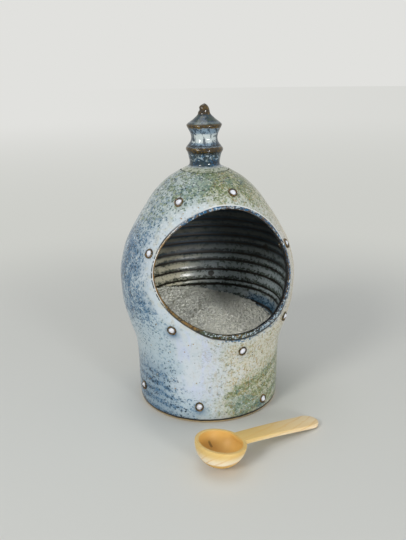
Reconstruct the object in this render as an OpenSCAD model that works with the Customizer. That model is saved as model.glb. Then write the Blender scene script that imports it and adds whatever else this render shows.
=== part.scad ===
// Salt pig: a thrown stoneware jar with a domed top, a slanted mouth, a turned finial,
// small inlaid studs, a fill of coarse salt and a loose wooden spoon.
// The origin is the centre of the foot's underside, +Z is up and the mouth faces -Y.

/* [Jar wall] */
// Widest width, at the belly
belly_d = 110; // [104:0.5:118]
// How far the foot stands in from the belly
foot_in = 9.3; // [6:0.1:12]
// How far the nearly straight lower wall stands in from the belly at its top
waist_in = 8.7; // [5:0.1:11]
// Height of the nearly straight lower wall
waist_h = 29; // [22:0.5:34]
// Height of the belly
belly_h = 86; // [80:0.5:92]
// Height where the dome meets the finial's seat
dome_h = 149.8; // [142:0.2:158]
// Thickness of the wall
wall_t = 4.6; // [3.8:0.1:5.4]
// Thickness of the floor
floor_t = 7; // [5:0.5:10]
// Radius of the inside corner between floor and wall
floor_corner_r = 9; // [6:0.5:12]
// Bevel round the foot
foot_bevel = 1.8; // [1:0.1:3]
// Height of one throwing ring on the inside, below the belly
ring_pitch = 6.7; // [6:0.1:7.6]
// Height of one throwing ring under the dome
dome_ring_pitch = 7; // [6.2:0.1:8]
// How far the ridge between two throwing rings stands in
ring_depth = 0.6; // [0.3:0.1:0.9]

/* [Mouth] */
// Width of the mouth along its long way
mouth_w = 85.6; // [79:0.2:89]
// Height of the mouth's lower edge on the wall
mouth_sill_h = 58.8; // [54:0.2:64]
// Clearance from the mouth's upper edge to the top of the dome
mouth_top_gap = 15.8; // [13:0.2:22]
// How far the mouth's long way turns from level, in degrees
mouth_roll = -17.9; // [-24:0.1:0]
// How far the mouth looks upwards, in degrees
mouth_tilt = 14.2; // [10:0.2:18]

/* [Finial] */
// Width of the seat sunk in the top of the dome
seat_d = 29.8; // [27:0.2:32]
// Depth of that seat
seat_depth = 0.8; // [0.5:0.1:1.2]
// Width of the narrow lip that the dome keeps round the seat
seat_lip = 0.5; // [0.3:0.1:1]
// Open groove left between the seat and the finial's foot
seat_gap = 0.45; // [0.3:0.05:0.8]
// Height of the finial's upright foot edge
skirt_edge_h = 1.3; // [1:0.1:2]
// Width of the collar above the skirt
collar_d = 18.6; // [16:0.2:20]
// Height of the collar above the seat
collar_at = 5.1; // [4.4:0.1:6]
// Width of the lower ring
low_ring_d = 22.8; // [21:0.2:25]
// Height of the lower ring above the seat
low_ring_at = 13.1; // [12:0.1:14]
// Width of the neck between the rings
neck_d = 15.7; // [14:0.1:17.6]
// Height of the neck above the seat
neck_at = 20.2; // [19:0.1:21.4]
// Width of the upper ring
top_ring_d = 21; // [19:0.2:23]
// Height of the upper ring above the seat
top_ring_at = 27.6; // [26.4:0.1:28.8]
// Width of the tip
tip_d = 6; // [5:0.1:7.6]
// Height above the seat where the tip begins
tip_at = 35.5; // [34:0.1:36.4]
// Height of the tip above the seat
tip_h = 39.6; // [38:0.1:41]

/* [Studs] */
// Distance from the mouth's edge to the studs round it
mouth_stud_gap = 8.4; // [6.6:0.1:9]
// Width of a stud's head
stud_d = 6.4; // [5.4:0.1:7.4]
// Width of the raised ring round a stud's cup
stud_ring_w = 1.3; // [1:0.1:1.5]
// Thickness of a stud's head below the ring
stud_head_t = 0.9; // [0.8:0.1:1.4]
// How deep a stud's head sits in the wall
stud_seat = 0.45; // [0.3:0.05:0.6]
// Width of a stud's shank
shank_d = 3.2; // [2.6:0.1:3.8]
// Clearance round a stud and its shank
stud_clear = 0.1; // [0.05:0.05:0.2]
// Height of a stud's white bead
bead_h = 1.1; // [0.8:0.1:1.4]
// Clearance round a bead in its cup
bead_clear = 0.08; // [0.04:0.02:0.12]
// Height of the row of studs round the foot
foot_stud_h = 11.6; // [10:0.2:14]

/* [Salt] */
// How far the salt at the jar's axis lies below the mouth's lower edge
salt_drop = 4.3; // [2:0.1:15]
// Slope of the salt, in degrees
salt_slope = 8.6; // [0:0.2:10]
// Direction in which the salt falls away, in degrees from the mouth
salt_falls_to = 65; // [40:1:90]
// Clearance between the salt and the throwing rings
salt_gap = 0.3; // [0.2:0.05:0.6]

/* [Spoon] */
// Width of the spoon's bowl
bowl_d = 29; // [26:0.2:31]
// Thickness of the bowl
bowl_wall = 2.3; // [1.8:0.1:2.8]
// Length from the middle of the bowl to the end of the handle
handle_l = 73; // [66:0.5:80]
// Width of the handle where it leaves the bowl
handle_neck_w = 10.4; // [8:0.2:11.4]
// Width of the handle at its round end
handle_end_w = 12.6; // [11.6:0.2:14]
// Thickness of the handle
handle_t = 2.6; // [2:0.1:3.2]
// Place of the bowl's middle, to the right of the jar's axis
spoon_x = -19.1; // [-30:0.5:0]
// Clearance from the jar's belly to the bowl's middle
spoon_gap = 29.7; // [26:0.1:45]
// Direction of the handle, in degrees from the +X axis
spoon_turn = 18; // [0:1:22]

/* [Hidden] */
$fn = 96;
overrun = 0.5;

belly_r = belly_d / 2;
foot_r = belly_r - foot_in;
waist_r = belly_r - waist_in;
seat_r = seat_d / 2;
lip_r = seat_r + seat_lip;
seat_h = dome_h - seat_depth;

// Each pair is a share of the rise and a share of the change in radius.
foot_shares = [[0.14, 0.45], [0.5, 0.82]];
swell_shares = [[0.22, 0.1], [0.48, 0.56], [0.74, 0.93]];
dome_shares = [[0.25, 0.075], [0.47, 0.24], [0.66, 0.43], [0.8, 0.59], [0.92, 0.79]];

function mix(a, b, t) = a + (b - a) * t;
function between(a, b, shares) = [for (s = shares) [mix(a[0], b[0], s[0]), mix(a[1], b[1], s[1])]];

// A smooth radius over height through a table of [height, radius], flat at each widest
// and narrowest place.
function rise(t, i) = (t[i + 1][1] - t[i][1]) / (t[i + 1][0] - t[i][0]);
function tangent(t, i) =
    i == 0 ? rise(t, 0) :
    i == len(t) - 1 ? rise(t, i - 1) :
    rise(t, i - 1) * rise(t, i) <= 0 ? 0 :
    2 * rise(t, i - 1) * rise(t, i) / (rise(t, i - 1) + rise(t, i));
function span_of(t, z, i = 0) = i >= len(t) - 2 || z < t[i + 1][0] ? i : span_of(t, z, i + 1);
function curve(t, z) =
    let (i = span_of(t, z), l = t[i + 1][0] - t[i][0], s = (z - t[i][0]) / l)
    mix(t[i][1], t[i + 1][1], s * s * (3 - 2 * s))
    + l * s * (1 - s) * (tangent(t, i) * (1 - s) - tangent(t, i + 1) * s);
function curve_slope(t, z) =
    let (i = span_of(t, z), l = t[i + 1][0] - t[i][0], s = (z - t[i][0]) / l)
    rise(t, i) * 6 * s * (1 - s)
    + tangent(t, i) * (1 - 4 * s + 3 * s * s) + tangent(t, i + 1) * (3 * s * s - 2 * s);
function curve_points(t, steps) = concat(
    [for (i = [0 : len(t) - 2], k = [0 : steps - 1])
        let (z = mix(t[i][0], t[i + 1][0], k / steps)) [curve(t, z), z]],
    [[t[len(t) - 1][1], t[len(t) - 1][0]]]);

// The jar's outside
foot_at = [foot_bevel, foot_r];
waist_at = [waist_h, waist_r];
belly_at = [belly_h, belly_r];
lip_at = [dome_h, lip_r];
outside = concat(
    [foot_at], between(foot_at, waist_at, foot_shares),
    [waist_at], between(waist_at, belly_at, swell_shares),
    [belly_at], between(belly_at, lip_at, dome_shares),
    [lip_at]);
outside_steps = 3;

function jar_r(z) = curve(outside, z);
function jar_slope(z) = curve_slope(outside, z);

// The inside follows the outside, one wall thickness in, with a ridge at each ring's edge.
inside_from = floor_t + floor_corner_r;
ceiling_h = seat_h - wall_t;
ring_steps = 5;
low_rings = (belly_h - inside_from) / ring_pitch;
ring_count = floor(low_rings + (dome_h - belly_h) / dome_ring_pitch);
function ring_h(n) =
    n < low_rings ? inside_from + n * ring_pitch : belly_h + (n - low_rings) * dome_ring_pitch;
function inside_point(z, ring) =
    let (s = jar_slope(z), w = sqrt(1 + s * s))
    [jar_r(z) - wall_t / w - ring, z + wall_t * s / w];
function inside_points(ring, gap) =
    [for (k = [0 : ring_count * ring_steps])
        let (p = inside_point(ring_h(k / ring_steps), ring * (1 - abs(sin(180 * k / ring_steps)))))
        if (p[1] < ceiling_h) [p[0] - gap, p[1]]];
corner_steps = 6;
function corner_points(gap) =
    let (p = inside_point(inside_from, 0), r = floor_corner_r)
    [for (k = [0 : corner_steps - 1])
        [p[0] - gap - r + r * sin(90 * k / corner_steps), floor_t + r - r * cos(90 * k / corner_steps)]];

// Seen along its axis, the mouth is a turned ellipse that reaches from its lower to its
// upper edge.
mouth_top = dome_h - mouth_top_gap;
mouth_reach = (jar_r(mouth_sill_h) - jar_r(mouth_top)) / 2 * sin(mouth_tilt)
    + (mouth_top - mouth_sill_h) / 2 * cos(mouth_tilt);
mouth_long_r = mouth_w / 2;
mouth_short_r = sqrt(pow(mouth_reach, 2) - pow(mouth_long_r * sin(mouth_roll), 2)) / cos(mouth_roll);
mouth_axis_h = (mouth_top + mouth_sill_h) / 2
    - (jar_r(mouth_sill_h) + jar_r(mouth_top)) / 2 * tan(mouth_tilt);
function mouth_point(u, v, w) = [
    u,
    v * sin(mouth_tilt) - w * cos(mouth_tilt),
    mouth_axis_h + v * cos(mouth_tilt) + w * sin(mouth_tilt)];
// How far out along the mouth's axis the jar's outside lies, found by halving
halvings = 30;
function outside_of(p) = norm([p[0], p[1]]) > jar_r(p[2]);
function wall_along(u, v, low, high, n = 0) =
    let (middle = (low + high) / 2)
    n == halvings ? middle :
    outside_of(mouth_point(u, v, middle)) ? wall_along(u, v, low, middle, n + 1) :
    wall_along(u, v, middle, high, n + 1);

function mouth_edge(turn) =
    let (along = mouth_long_r * cos(turn), across = mouth_short_r * sin(turn),
        u = along * cos(mouth_roll) - across * sin(mouth_roll),
        v = along * sin(mouth_roll) + across * cos(mouth_roll))
    mouth_point(u, v, wall_along(u, v, 0, belly_d));
// Studs round the mouth: a direction from its long way, and a share of the distance from its edge
mouth_stud_turns = [143.2, 95.1, 33.6, -19.2, -66.1, -121.7, 182.4];
mouth_stud_shares = [1.11, 0.87, 0.92, 1.59, 1.23, 1.16, 0.63];
function mouth_stud(i) =
    let (turn = mouth_stud_turns[i], out = mouth_stud_gap * mouth_stud_shares[i],
        way = turn + mouth_roll, p = mouth_edge(turn), r = norm([p[0], p[1]]))
    [atan2(p[0], -p[1]) + 180 / PI * out * cos(way) / r, p[2] + out * sin(way)];
// Studs round the foot and on the back: degrees from the mouth, and shares of a height
foot_stud_turns = [-80, -24, 31, 91, 150, 211];
foot_stud_shares = [1.2, 1.02, 0.74, 1, 1.05, 1.1];
back_stud_turns = [110, 160, 210, 250];
back_stud_shares = [1.06, 0.76, 1.06, 0.76];
stud_places = concat(
    [for (i = [0 : len(mouth_stud_turns) - 1]) mouth_stud(i)],
    [for (i = [0 : len(foot_stud_turns) - 1]) [foot_stud_turns[i], foot_stud_h * foot_stud_shares[i]]],
    [for (i = [0 : len(back_stud_turns) - 1]) [back_stud_turns[i], belly_h * back_stud_shares[i]]]);
stud_names = concat(
    [for (i = [1 : len(mouth_stud_turns)]) str("mouth_stud_", i)],
    [for (i = [1 : len(foot_stud_turns)]) str("foot_stud_", i)],
    [for (i = [1 : len(back_stud_turns)]) str("back_stud_", i)]);
bead_names = [for (name = stud_names) str(name, "_bead")];

stud_r = stud_d / 2;
stud_ring_r = stud_ring_w / 2;
shank_r = shank_d / 2;
shank_l = wall_t - stud_seat - ring_depth - stud_clear;
cup_r = stud_r - stud_ring_w;
bead_r = cup_r - bead_clear;
bead_ball_r = (bead_r * bead_r + bead_h * bead_h) / (2 * bead_h);

// The finial's outline, from its foot to the start of its tip
skirt_r = seat_r - seat_gap;
skirt_at_edge = [skirt_edge_h, skirt_r];
collar_place = [collar_at, collar_d / 2];
low_ring_place = [low_ring_at, low_ring_d / 2];
neck_place = [neck_at, neck_d / 2];
top_ring_place = [top_ring_at, top_ring_d / 2];
tip_place = [tip_at, tip_d / 2];
skirt_shares = [[0.2, 0.3], [0.37, 0.54], [0.53, 0.79], [0.7, 0.94]];
low_ring_shares = [[0.46, 0.29], [0.76, 0.57], [0.88, 0.82]];
neck_shares = [[0.12, 0.04], [0.25, 0.23], [0.42, 0.5], [0.74, 0.91]];
top_ring_shares = [[0.28, 0.12], [0.58, 0.48], [0.86, 0.87]];
tip_shares = [[0.1, 0.08], [0.27, 0.31], [0.42, 0.52], [0.58, 0.7], [0.74, 0.9], [0.87, 0.98]];
finial_outline = concat(
    [skirt_at_edge], between(skirt_at_edge, collar_place, skirt_shares),
    [collar_place], between(collar_place, low_ring_place, low_ring_shares),
    [low_ring_place], between(low_ring_place, neck_place, neck_shares),
    [neck_place], between(neck_place, top_ring_place, top_ring_shares),
    [top_ring_place], between(top_ring_place, tip_place, tip_shares),
    [tip_place]);
finial_steps = 2;
tip_steps = 5;

bowl_r = bowl_d / 2;
bowl_inner_r = bowl_r - bowl_wall;
handle_end_r = handle_end_w / 2;
// The spoon leans until its handle's end touches what its bowl stands on.
spoon_lean = asin(bowl_r / norm([handle_l, handle_t])) - atan(handle_t / handle_l);

module on_wall(place) {
    slope = jar_slope(place[1]);
    translate([jar_r(place[1]) * sin(place[0]), -jar_r(place[1]) * cos(place[0]), place[1]])
        rotate([90 - atan(-slope), 0, place[0]])
            children();
}

module stud_hole() {
    translate([0, 0, -stud_seat])
        cylinder(r = stud_r + stud_clear, h = stud_seat + stud_head_t);
    translate([0, 0, -2 * wall_t])
        cylinder(r = shank_r + stud_clear, h = 2 * wall_t);
}

module mouth_cut() {
    translate([0, 0, mouth_axis_h])
        rotate([90 - mouth_tilt, 0, 0])
            linear_extrude(height = belly_d)
                rotate(mouth_roll)
                    scale([mouth_long_r, mouth_short_r])
                        circle(r = 1);
}

module jar() {
    color([0.52, 0.6, 0.68])
    difference() {
        rotate_extrude()
            polygon(concat(
                [[0, 0], [foot_r - foot_bevel, 0]],
                curve_points(outside, outside_steps),
                [[seat_r, dome_h], [seat_r, seat_h], [0, seat_h], [0, ceiling_h]],
                let (wall = concat(corner_points(0), inside_points(ring_depth, 0)))
                    [for (i = [len(wall) - 1 : -1 : 0]) wall[i]],
                [[0, floor_t]]));
        mouth_cut();
        for (place = stud_places)
            on_wall(place)
                stud_hole();
    }
}

module finial() {
    color([0.36, 0.32, 0.2])
    translate([0, 0, seat_h])
        rotate_extrude()
            polygon(concat(
                [[0, 0], [skirt_r, 0]],
                curve_points(finial_outline, finial_steps),
                [for (k = [1 : tip_steps])
                    [tip_d / 2 * cos(90 * k / tip_steps),
                        tip_at + (tip_h - tip_at) * sin(90 * k / tip_steps)]]));
}

module salt_fill() {
    color([0.86, 0.87, 0.86])
    difference() {
        rotate_extrude()
            polygon(concat(
                [[0, floor_t]],
                corner_points(ring_depth + salt_gap),
                inside_points(0, ring_depth + salt_gap),
                [[0, ceiling_h]]));
        translate([0, 0, mouth_sill_h - salt_drop])
            rotate([salt_slope, 0, salt_falls_to])
                translate([-belly_d, -belly_d, 0])
                    cube(2 * belly_d);
    }
}

module spoon() {
    color([0.88, 0.74, 0.5])
    translate([spoon_x, -belly_r - spoon_gap, bowl_r])
        rotate([0, spoon_lean, spoon_turn])
            difference() {
                union() {
                    difference() {
                        sphere(r = bowl_r);
                        translate([-bowl_d, -bowl_d, 0])
                            cube(2 * bowl_d);
                    }
                    translate([0, 0, -handle_t])
                        linear_extrude(height = handle_t) {
                            polygon([
                                [0, -handle_neck_w / 2],
                                [handle_l - handle_end_r, -handle_end_r],
                                [handle_l - handle_end_r, handle_end_r],
                                [0, handle_neck_w / 2]]);
                            translate([handle_l - handle_end_r, 0])
                                circle(r = handle_end_r);
                        }
                }
                sphere(r = bowl_inner_r);
            }
}

module stud() {
    color([0.45, 0.3, 0.12])
    translate([0, 0, -stud_seat]) {
        translate([0, 0, -shank_l])
            cylinder(r = shank_r, h = shank_l);
        rotate_extrude() {
            square([stud_r, stud_head_t]);
            translate([stud_r - stud_ring_r, stud_head_t])
                circle(r = stud_ring_r);
        }
    }
}

module bead() {
    color([0.95, 0.95, 0.96])
    translate([0, 0, stud_head_t - stud_seat])
        difference() {
            translate([0, 0, bead_h - bead_ball_r])
                sphere(r = bead_ball_r);
            translate([-bead_ball_r * 2, -bead_ball_r * 2, -bead_ball_r * 4])
                cube(bead_ball_r * 4);
        }
}

jar();
finial();
salt_fill();
spoon();
for (i = [0 : len(stud_places) - 1]) {
    on_wall(stud_places[i]) stud();
    on_wall(stud_places[i]) bead();
}
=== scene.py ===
"""A thrown salt pig with its finial, studs, salt and wooden spoon, and the stage it stands on."""

import math
from functools import cached_property

import bmesh
import bpy
import numpy as np
from mathutils import Matrix, Vector


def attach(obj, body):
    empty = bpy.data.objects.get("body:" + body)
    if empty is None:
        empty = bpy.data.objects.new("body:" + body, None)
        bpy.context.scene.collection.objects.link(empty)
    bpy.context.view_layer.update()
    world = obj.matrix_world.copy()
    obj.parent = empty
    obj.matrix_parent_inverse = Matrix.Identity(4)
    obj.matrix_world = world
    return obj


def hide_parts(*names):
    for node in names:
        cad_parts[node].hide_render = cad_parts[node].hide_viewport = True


bl_info = {
    "name": "Salt Pig",
    "version": (1, 0, 0),
    "blender": (4, 5, 0),
    "location": "3D Viewport > Sidebar > Salt Pig",
    "description": "Models a glazed salt pig piece by piece",
    "category": "Add Mesh",
}

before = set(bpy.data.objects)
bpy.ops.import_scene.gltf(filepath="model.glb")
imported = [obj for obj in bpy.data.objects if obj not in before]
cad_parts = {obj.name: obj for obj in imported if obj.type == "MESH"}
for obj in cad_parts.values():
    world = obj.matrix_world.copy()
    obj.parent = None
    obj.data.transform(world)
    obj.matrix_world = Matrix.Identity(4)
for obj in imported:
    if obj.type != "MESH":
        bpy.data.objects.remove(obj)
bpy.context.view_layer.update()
MM = 0.001


# Sizes and colours


def number(name, description, value, **facts):
    return bpy.props.FloatProperty(name=name, description=description, default=value, **facts)


def length(name, description, mm):
    """A length property whose default is given in millimetres."""
    return number(name, description, mm * MM, min=0, unit="LENGTH", precision=5)


def angle(name, description, degrees):
    """An angle property whose default is given in degrees."""
    return number(name, description, math.radians(degrees), subtype="ANGLE")


def share(name, description, value):
    """A plain share between 0 and 1."""
    return number(name, description, value, min=0, max=1, subtype="FACTOR")


def power(name, description, watts):
    """The power of a lamp."""
    return number(name, description, watts, min=0, unit="POWER")


def colour(name, description, red, green, blue):
    """A colour property whose default is given as it looks, from 0 to 255 for each part."""
    parts = []
    for part in (red, green, blue):
        level = part / 255
        parts.append(level / 12.92 if level <= 0.04045 else ((level + 0.055) / 1.055) ** 2.4)
    return bpy.props.FloatVectorProperty(
        name=name, description=description, default=parts, size=3, min=0, max=1, subtype="COLOR"
    )


def group(kind, name, description):
    """A group of sizes or colours that belong together."""
    return bpy.props.PointerProperty(type=kind, name=name, description=description)


class JarSizes(bpy.types.PropertyGroup):
    belly_d: length("Belly", "Widest width of the jar", 110)
    belly_h: length("Belly height", "Height of the widest place", 86)
    foot_in: length("Foot set-in", "How far the foot stands in from the belly", 9.3)
    waist_in: length("Waist set-in", "How far the lower wall stands in from the belly", 8.7)
    waist_h: length("Waist height", "Height of the nearly straight lower wall", 29)
    dome_h: length("Dome height", "Height where the dome meets the finial", 149.8)
    wall_t: length("Wall", "Thickness of the wall", 4.6)
    floor_t: length("Floor", "Thickness of the floor", 7)
    corner_r: length("Corner", "Radius of the inside corner", 9)
    foot_bevel: length("Foot bevel", "Bevel round the foot", 1.8)
    ring_pitch: length("Ring", "Height of a throwing ring below the belly", 6.7)
    dome_ring_pitch: length("Dome ring", "Height of a throwing ring under the dome", 7)
    ring_depth: length("Ring depth", "How far a ridge between rings stands in", 0.8)
    wobble: length("Wobble", "How far the thrown wall strays from round", 0.4)
    belly_lean: length("Belly lean", "How far the belly bulges to one side", 1.0)


class MouthSizes(bpy.types.PropertyGroup):
    width: length("Width", "Width of the mouth along its long way", 85.6)
    sill_h: length("Sill height", "Height of the mouth's lower edge", 58.8)
    top_gap: length("Top gap", "From the mouth's upper edge to the top of the dome", 15.8)
    roll: angle("Roll", "How far the mouth's long way turns from level", -17.9)
    tilt: angle("Tilt", "How far the mouth looks upwards", 14.2)
    lean: length("Lean", "How far the mouth's top is cut to the right", 2.8)
    belly: length("Belly", "How far the mouth's middle is cut to the left", 0.8)
    edge_w: length("Edge width", "How far the rounded edge reaches into the opening", 2.0)
    outer_round: length("Outer rounding", "Depth of the rounding of the outer edge", 2.2)
    inner_round: length("Inner rounding", "Rounding of the mouth's inner edge", 1.7)
    rise: length("Rise", "How far the edge stands proud of the wall", 0.3)


class FinialSizes(bpy.types.PropertyGroup):
    seat_d: length("Seat", "Width of the seat in the dome", 29.8)
    seat_depth: length("Seat depth", "Depth of that seat", 0.8)
    seat_lip: length("Seat lip", "Width of the lip round the seat", 0.5)
    seat_gap: length("Seat gap", "Open groove round the finial's foot", 0.45)
    tip_h: length("Tip height", "Height of the finial above its seat", 39.6)


class StudSizes(bpy.types.PropertyGroup):
    stud_d: length("Stud", "Width of a stud's ring", 5.8)
    ring_w: length("Ring width", "Width of the raised ring", 0.95)
    ring_h: length("Ring height", "How far the ring stands out of the wall", 1.0)
    bead_d: length("Bead", "Width of the white bead", 3.8)
    bead_h: length("Bead height", "How far the bead stands out of the wall", 1.35)
    mouth_gap: length("Mouth gap", "Distance from the mouth's edge to its studs", 8.4)
    foot_h: length("Foot row", "Height of the studs round the foot", 11.6)


class SaltSizes(bpy.types.PropertyGroup):
    drop: length("Drop", "How far the salt lies below the mouth's lower edge", 4.3)
    slope: angle("Slope", "Slope of the salt", 8.6)
    falls_to: angle("Falls to", "Direction in which the salt falls away", 65)
    grain: length("Grain", "Width of the largest grains", 1.8)
    grains: bpy.props.IntProperty(
        name="Grains", description="Number of loose grains", default=6000, min=1
    )


class SpoonSizes(bpy.types.PropertyGroup):
    bowl_d: length("Bowl", "Width of the bowl", 29)
    wall: length("Wall", "Thickness of the bowl", 2.3)
    handle_l: length("Handle", "From the middle of the bowl to the handle's end", 73)
    neck_w: length("Neck", "Width of the handle at the bowl", 10.4)
    end_w: length("End", "Width of the handle at its round end", 12.6)
    handle_t: length("Thickness", "Thickness of the handle", 2.6)
    place: bpy.props.FloatVectorProperty(
        name="Place", description="Place of the bowl's middle on the table",
        default=(-0.0191, -0.0847), size=2, subtype="XYZ", unit="LENGTH",
    )
    turn: angle("Turn", "Direction of the handle", 18)


class GlazeColours(bpy.types.PropertyGroup):
    lilac: colour("Lilac", "Bluish streak down the front", 190, 200, 224)
    milk: colour("Milk", "Smooth pale glaze round the mouth", 198, 206, 212)
    haze: colour("Haze", "Pale blue-grey glaze on the side", 180, 197, 205)
    blue: colour("Blue", "Blue streaks and pools", 14, 86, 126)
    navy: colour("Navy", "Dark specks", 10, 40, 58)
    cream: colour("Cream", "Cream glaze on the lower front", 198, 196, 180)
    peach: colour("Peach", "Warm cream high on the right", 200, 184, 158)
    ochre: colour("Ochre", "Brown flecks in the cream", 150, 122, 62)
    olive: colour("Olive", "Olive glaze low on the right and on the dome", 124, 136, 84)
    moss: colour("Moss", "Dark green specks in the olive", 76, 92, 54)
    teal: colour("Teal", "Teal glaze low on the right", 92, 128, 130)
    sage: colour("Sage", "Grey-green glaze on the right", 172, 176, 152)
    rim: colour("Rim", "Gold-brown edge of the mouth", 126, 94, 42)
    iron: colour("Iron", "Nearly black breaks over ridges", 34, 28, 22)
    clay: colour("Clay", "Bare clay round the foot", 190, 166, 122)
    taupe: colour("Taupe", "Glaze on the inner left wall", 216, 210, 184)
    slate: colour("Slate", "Glaze on the inner right wall", 166, 178, 182)
    lichen: colour("Lichen", "Green mottle on the inner wall", 58, 72, 54)
    gold: colour("Gold", "Gold-brown where the finial's glaze is thin", 108, 84, 20)
    amber: colour("Amber", "Finial's glossy brown", 54, 40, 12)
    bead: colour("Bead", "White beads in the studs", 226, 228, 236)
    salt: colour("Salt", "Packed damp salt", 246, 246, 230)
    crystal: colour("Crystal", "Loose salt grains", 252, 252, 240)
    wood: colour("Wood", "Pale yellow wood", 220, 188, 118)
    heartwood: colour("Heartwood", "Darker lines in the wood", 218, 168, 82)
    pale_underside: colour("Sapwood", "Palest wood under the bowl", 246, 232, 206)
    # Also used for painted highlights along the mouth's edge.
    speck_and_highlight: colour("Shine", "Small white specks", 226, 228, 226)
    # Also gives the painted shade high inside the jar, under the dome.
    pitch: colour("Pitch", "Dark green glaze under the dome", 12, 17, 14)
    lavender: colour("Lavender", "Finial's pale neck", 194, 204, 204)


class LightSettings(bpy.types.PropertyGroup):
    backdrop: colour("Backdrop", "Colour behind the object", 225, 225, 222)
    dusk: colour("Dusk", "Backdrop where it meets the floor", 204, 205, 200)
    floor: colour("Floor", "Colour of the floor near the object", 212, 213, 208)
    world: share("World", "Strength of the light from all round", 0.46)
    key: power("Key", "Power of the left lamp", 6.0)
    fill: power("Fill", "Power of the right lamp", 5.2)
    top: power("Top", "Power of the upper lamp", 2.0)


class SaltPigSettings(bpy.types.PropertyGroup):
    jar: group(JarSizes, "Jar", "Sizes of the thrown jar")
    mouth: group(MouthSizes, "Mouth", "Sizes of the slanted mouth and its edge")
    finial: group(FinialSizes, "Finial", "Sizes of the finial and its seat")
    stud: group(StudSizes, "Studs", "Sizes and places of the studs")
    salt: group(SaltSizes, "Salt", "Level, slope and grains of the salt")
    spoon: group(SpoonSizes, "Spoon", "Sizes and place of the wooden spoon")
    glaze: group(GlazeColours, "Colours", "Colours of the glazes, the salt and the wood")
    light: group(LightSettings, "Light", "Colours behind the jar and strength of the lamps")


def settings():
    return bpy.context.scene.salt_pig


# Outlines


# Shares of the rise and of the change in radius, from one named place of the outline to the next
FOOT_SHARES = [(0.14, 0.45), (0.5, 0.82)]
SWELL_SHARES = [(0.22, 0.1), (0.48, 0.56), (0.74, 0.93)]
DOME_SHARES = [(0.25, 0.075), (0.47, 0.24), (0.66, 0.43), (0.8, 0.59), (0.92, 0.79)]


def between(a, b, shares):
    """Points between a and b, each given as shares of the rise and of the change in radius."""
    return [(a[0] + (b[0] - a[0]) * s, a[1] + (b[1] - a[1]) * r) for s, r in shares]


class Outline:
    """A smooth radius over height through (height, radius) points."""

    def __init__(self, points):
        self.h, self.r = np.array(points, float).T
        rise = np.diff(self.r) / np.diff(self.h)
        mean = 2 * rise[:-1] * rise[1:]
        total = rise[:-1] + rise[1:]
        inner = np.where(mean > 0, mean / np.where(mean > 0, total, 1), 0)
        self.tangent = np.concatenate([rise[:1], inner, rise[-1:]])

    def _span(self, h):
        h = np.clip(h, self.h[0], self.h[-1])
        i = np.clip(np.searchsorted(self.h, h, side="right") - 1, 0, len(self.h) - 2)
        length = self.h[i + 1] - self.h[i]
        return i, length, (h - self.h[i]) / length

    def radius(self, h):
        """Radius at a height."""
        i, length, s = self._span(h)
        change = self.r[i + 1] - self.r[i]
        bow = self.tangent[i] * (1 - s) - self.tangent[i + 1] * s
        return self.r[i] + change * s * s * (3 - 2 * s) + length * s * (1 - s) * bow

    def slope(self, h):
        """Change of the radius with the height."""
        i, length, s = self._span(h)
        change = (self.r[i + 1] - self.r[i]) / length
        start, end = self.tangent[i], self.tangent[i + 1]
        ends = start * (1 - 4 * s + 3 * s * s) + end * (3 * s * s - 2 * s)
        return change * 6 * s * (1 - s) + ends


def jar_outline():
    """The jar's outer face, from the foot's bevel to the lip round the seat."""
    jar, finial = settings().jar, settings().finial
    belly = (jar.belly_h, jar.belly_d / 2)
    foot = (jar.foot_bevel, belly[1] - jar.foot_in)
    waist = (jar.waist_h, belly[1] - jar.waist_in)
    lip = (jar.dome_h, finial.seat_d / 2 + finial.seat_lip)
    return Outline(
        [foot] + between(foot, waist, FOOT_SHARES)
        + [waist] + between(waist, belly, SWELL_SHARES)
        + [belly] + between(belly, lip, DOME_SHARES) + [lip]
    )


RING_SEED = 5
ROWS_IN_RING = 9
# How far each ridge lies above an even spacing, in millimetres, from the lowest ring up
RIDGE_STRAYS = (
    0, 0.7, -0.9, 0.4, 1.1, -0.5, 1.8, -2.0, -1.0, 0.1,
    -1.0, 0.8, -0.2, 0.3, -0.8, 0.9, 0.2, -0.6, 0.4, 0,
)
# Depth of the lowest ridge and the range of all others, as shares of the ring depth
LOWEST_RIDGE, RIDGE_DEPTHS = 0.3, (0.6, 1.15)
RIDGE_SHARPNESS = 1.6
LEAST_RISE = 0.06 * MM


def ridge_heights():
    """Heights of the ridges between throwing rings, as they lie on the outline."""
    jar = settings().jar
    start = jar.floor_t + jar.corner_r
    low_rings = (jar.belly_h - start) / jar.ring_pitch
    heights = []
    for n, stray in enumerate(RIDGE_STRAYS):
        if n < low_rings:
            even = start + n * jar.ring_pitch
        else:
            even = jar.belly_h + (n - low_rings) * jar.dome_ring_pitch
        heights.append(even + stray * MM)
    return heights


def inside_profile():
    """Points (radius, height, nearness to a ridge) up the inner wall, and the ceiling's height."""
    jar, outline = settings().jar, jar_outline()
    chance = np.random.RandomState(RING_SEED)
    edges = ridge_heights()
    depths = [LOWEST_RIDGE] + [chance.uniform(*RIDGE_DEPTHS) for _ in edges[1:]]
    points = []
    for k in range(len(edges) - 1):
        for j in range(ROWS_IN_RING):
            # Rows crowd towards the ridges.
            t = (1 - math.cos(math.pi * j / ROWS_IN_RING)) / 2
            h = edges[k] + (edges[k + 1] - edges[k]) * t
            ridge = (1 - math.sin(math.pi * t)) ** RIDGE_SHARPNESS
            depth = depths[k] if t < 0.5 else depths[k + 1]
            slope = float(outline.slope(h))
            w = math.sqrt(1 + slope * slope)
            # Positive just above a ridge and negative just below one
            near = 1 - 2 * t
            points.append((
                float(outline.radius(h)) - jar.wall_t / w - jar.ring_depth * depth * ridge,
                h + jar.wall_t * slope / w,
                near,
            ))
    ceiling = jar.dome_h - settings().finial.seat_depth - jar.wall_t
    # A dome's steep rows can turn back, so only rising rows are kept.
    rising = [points[0]]
    for p in points[1:]:
        if rising[-1][1] + LEAST_RISE < p[1] < ceiling:
            rising.append(p)
    return rising, ceiling


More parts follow.
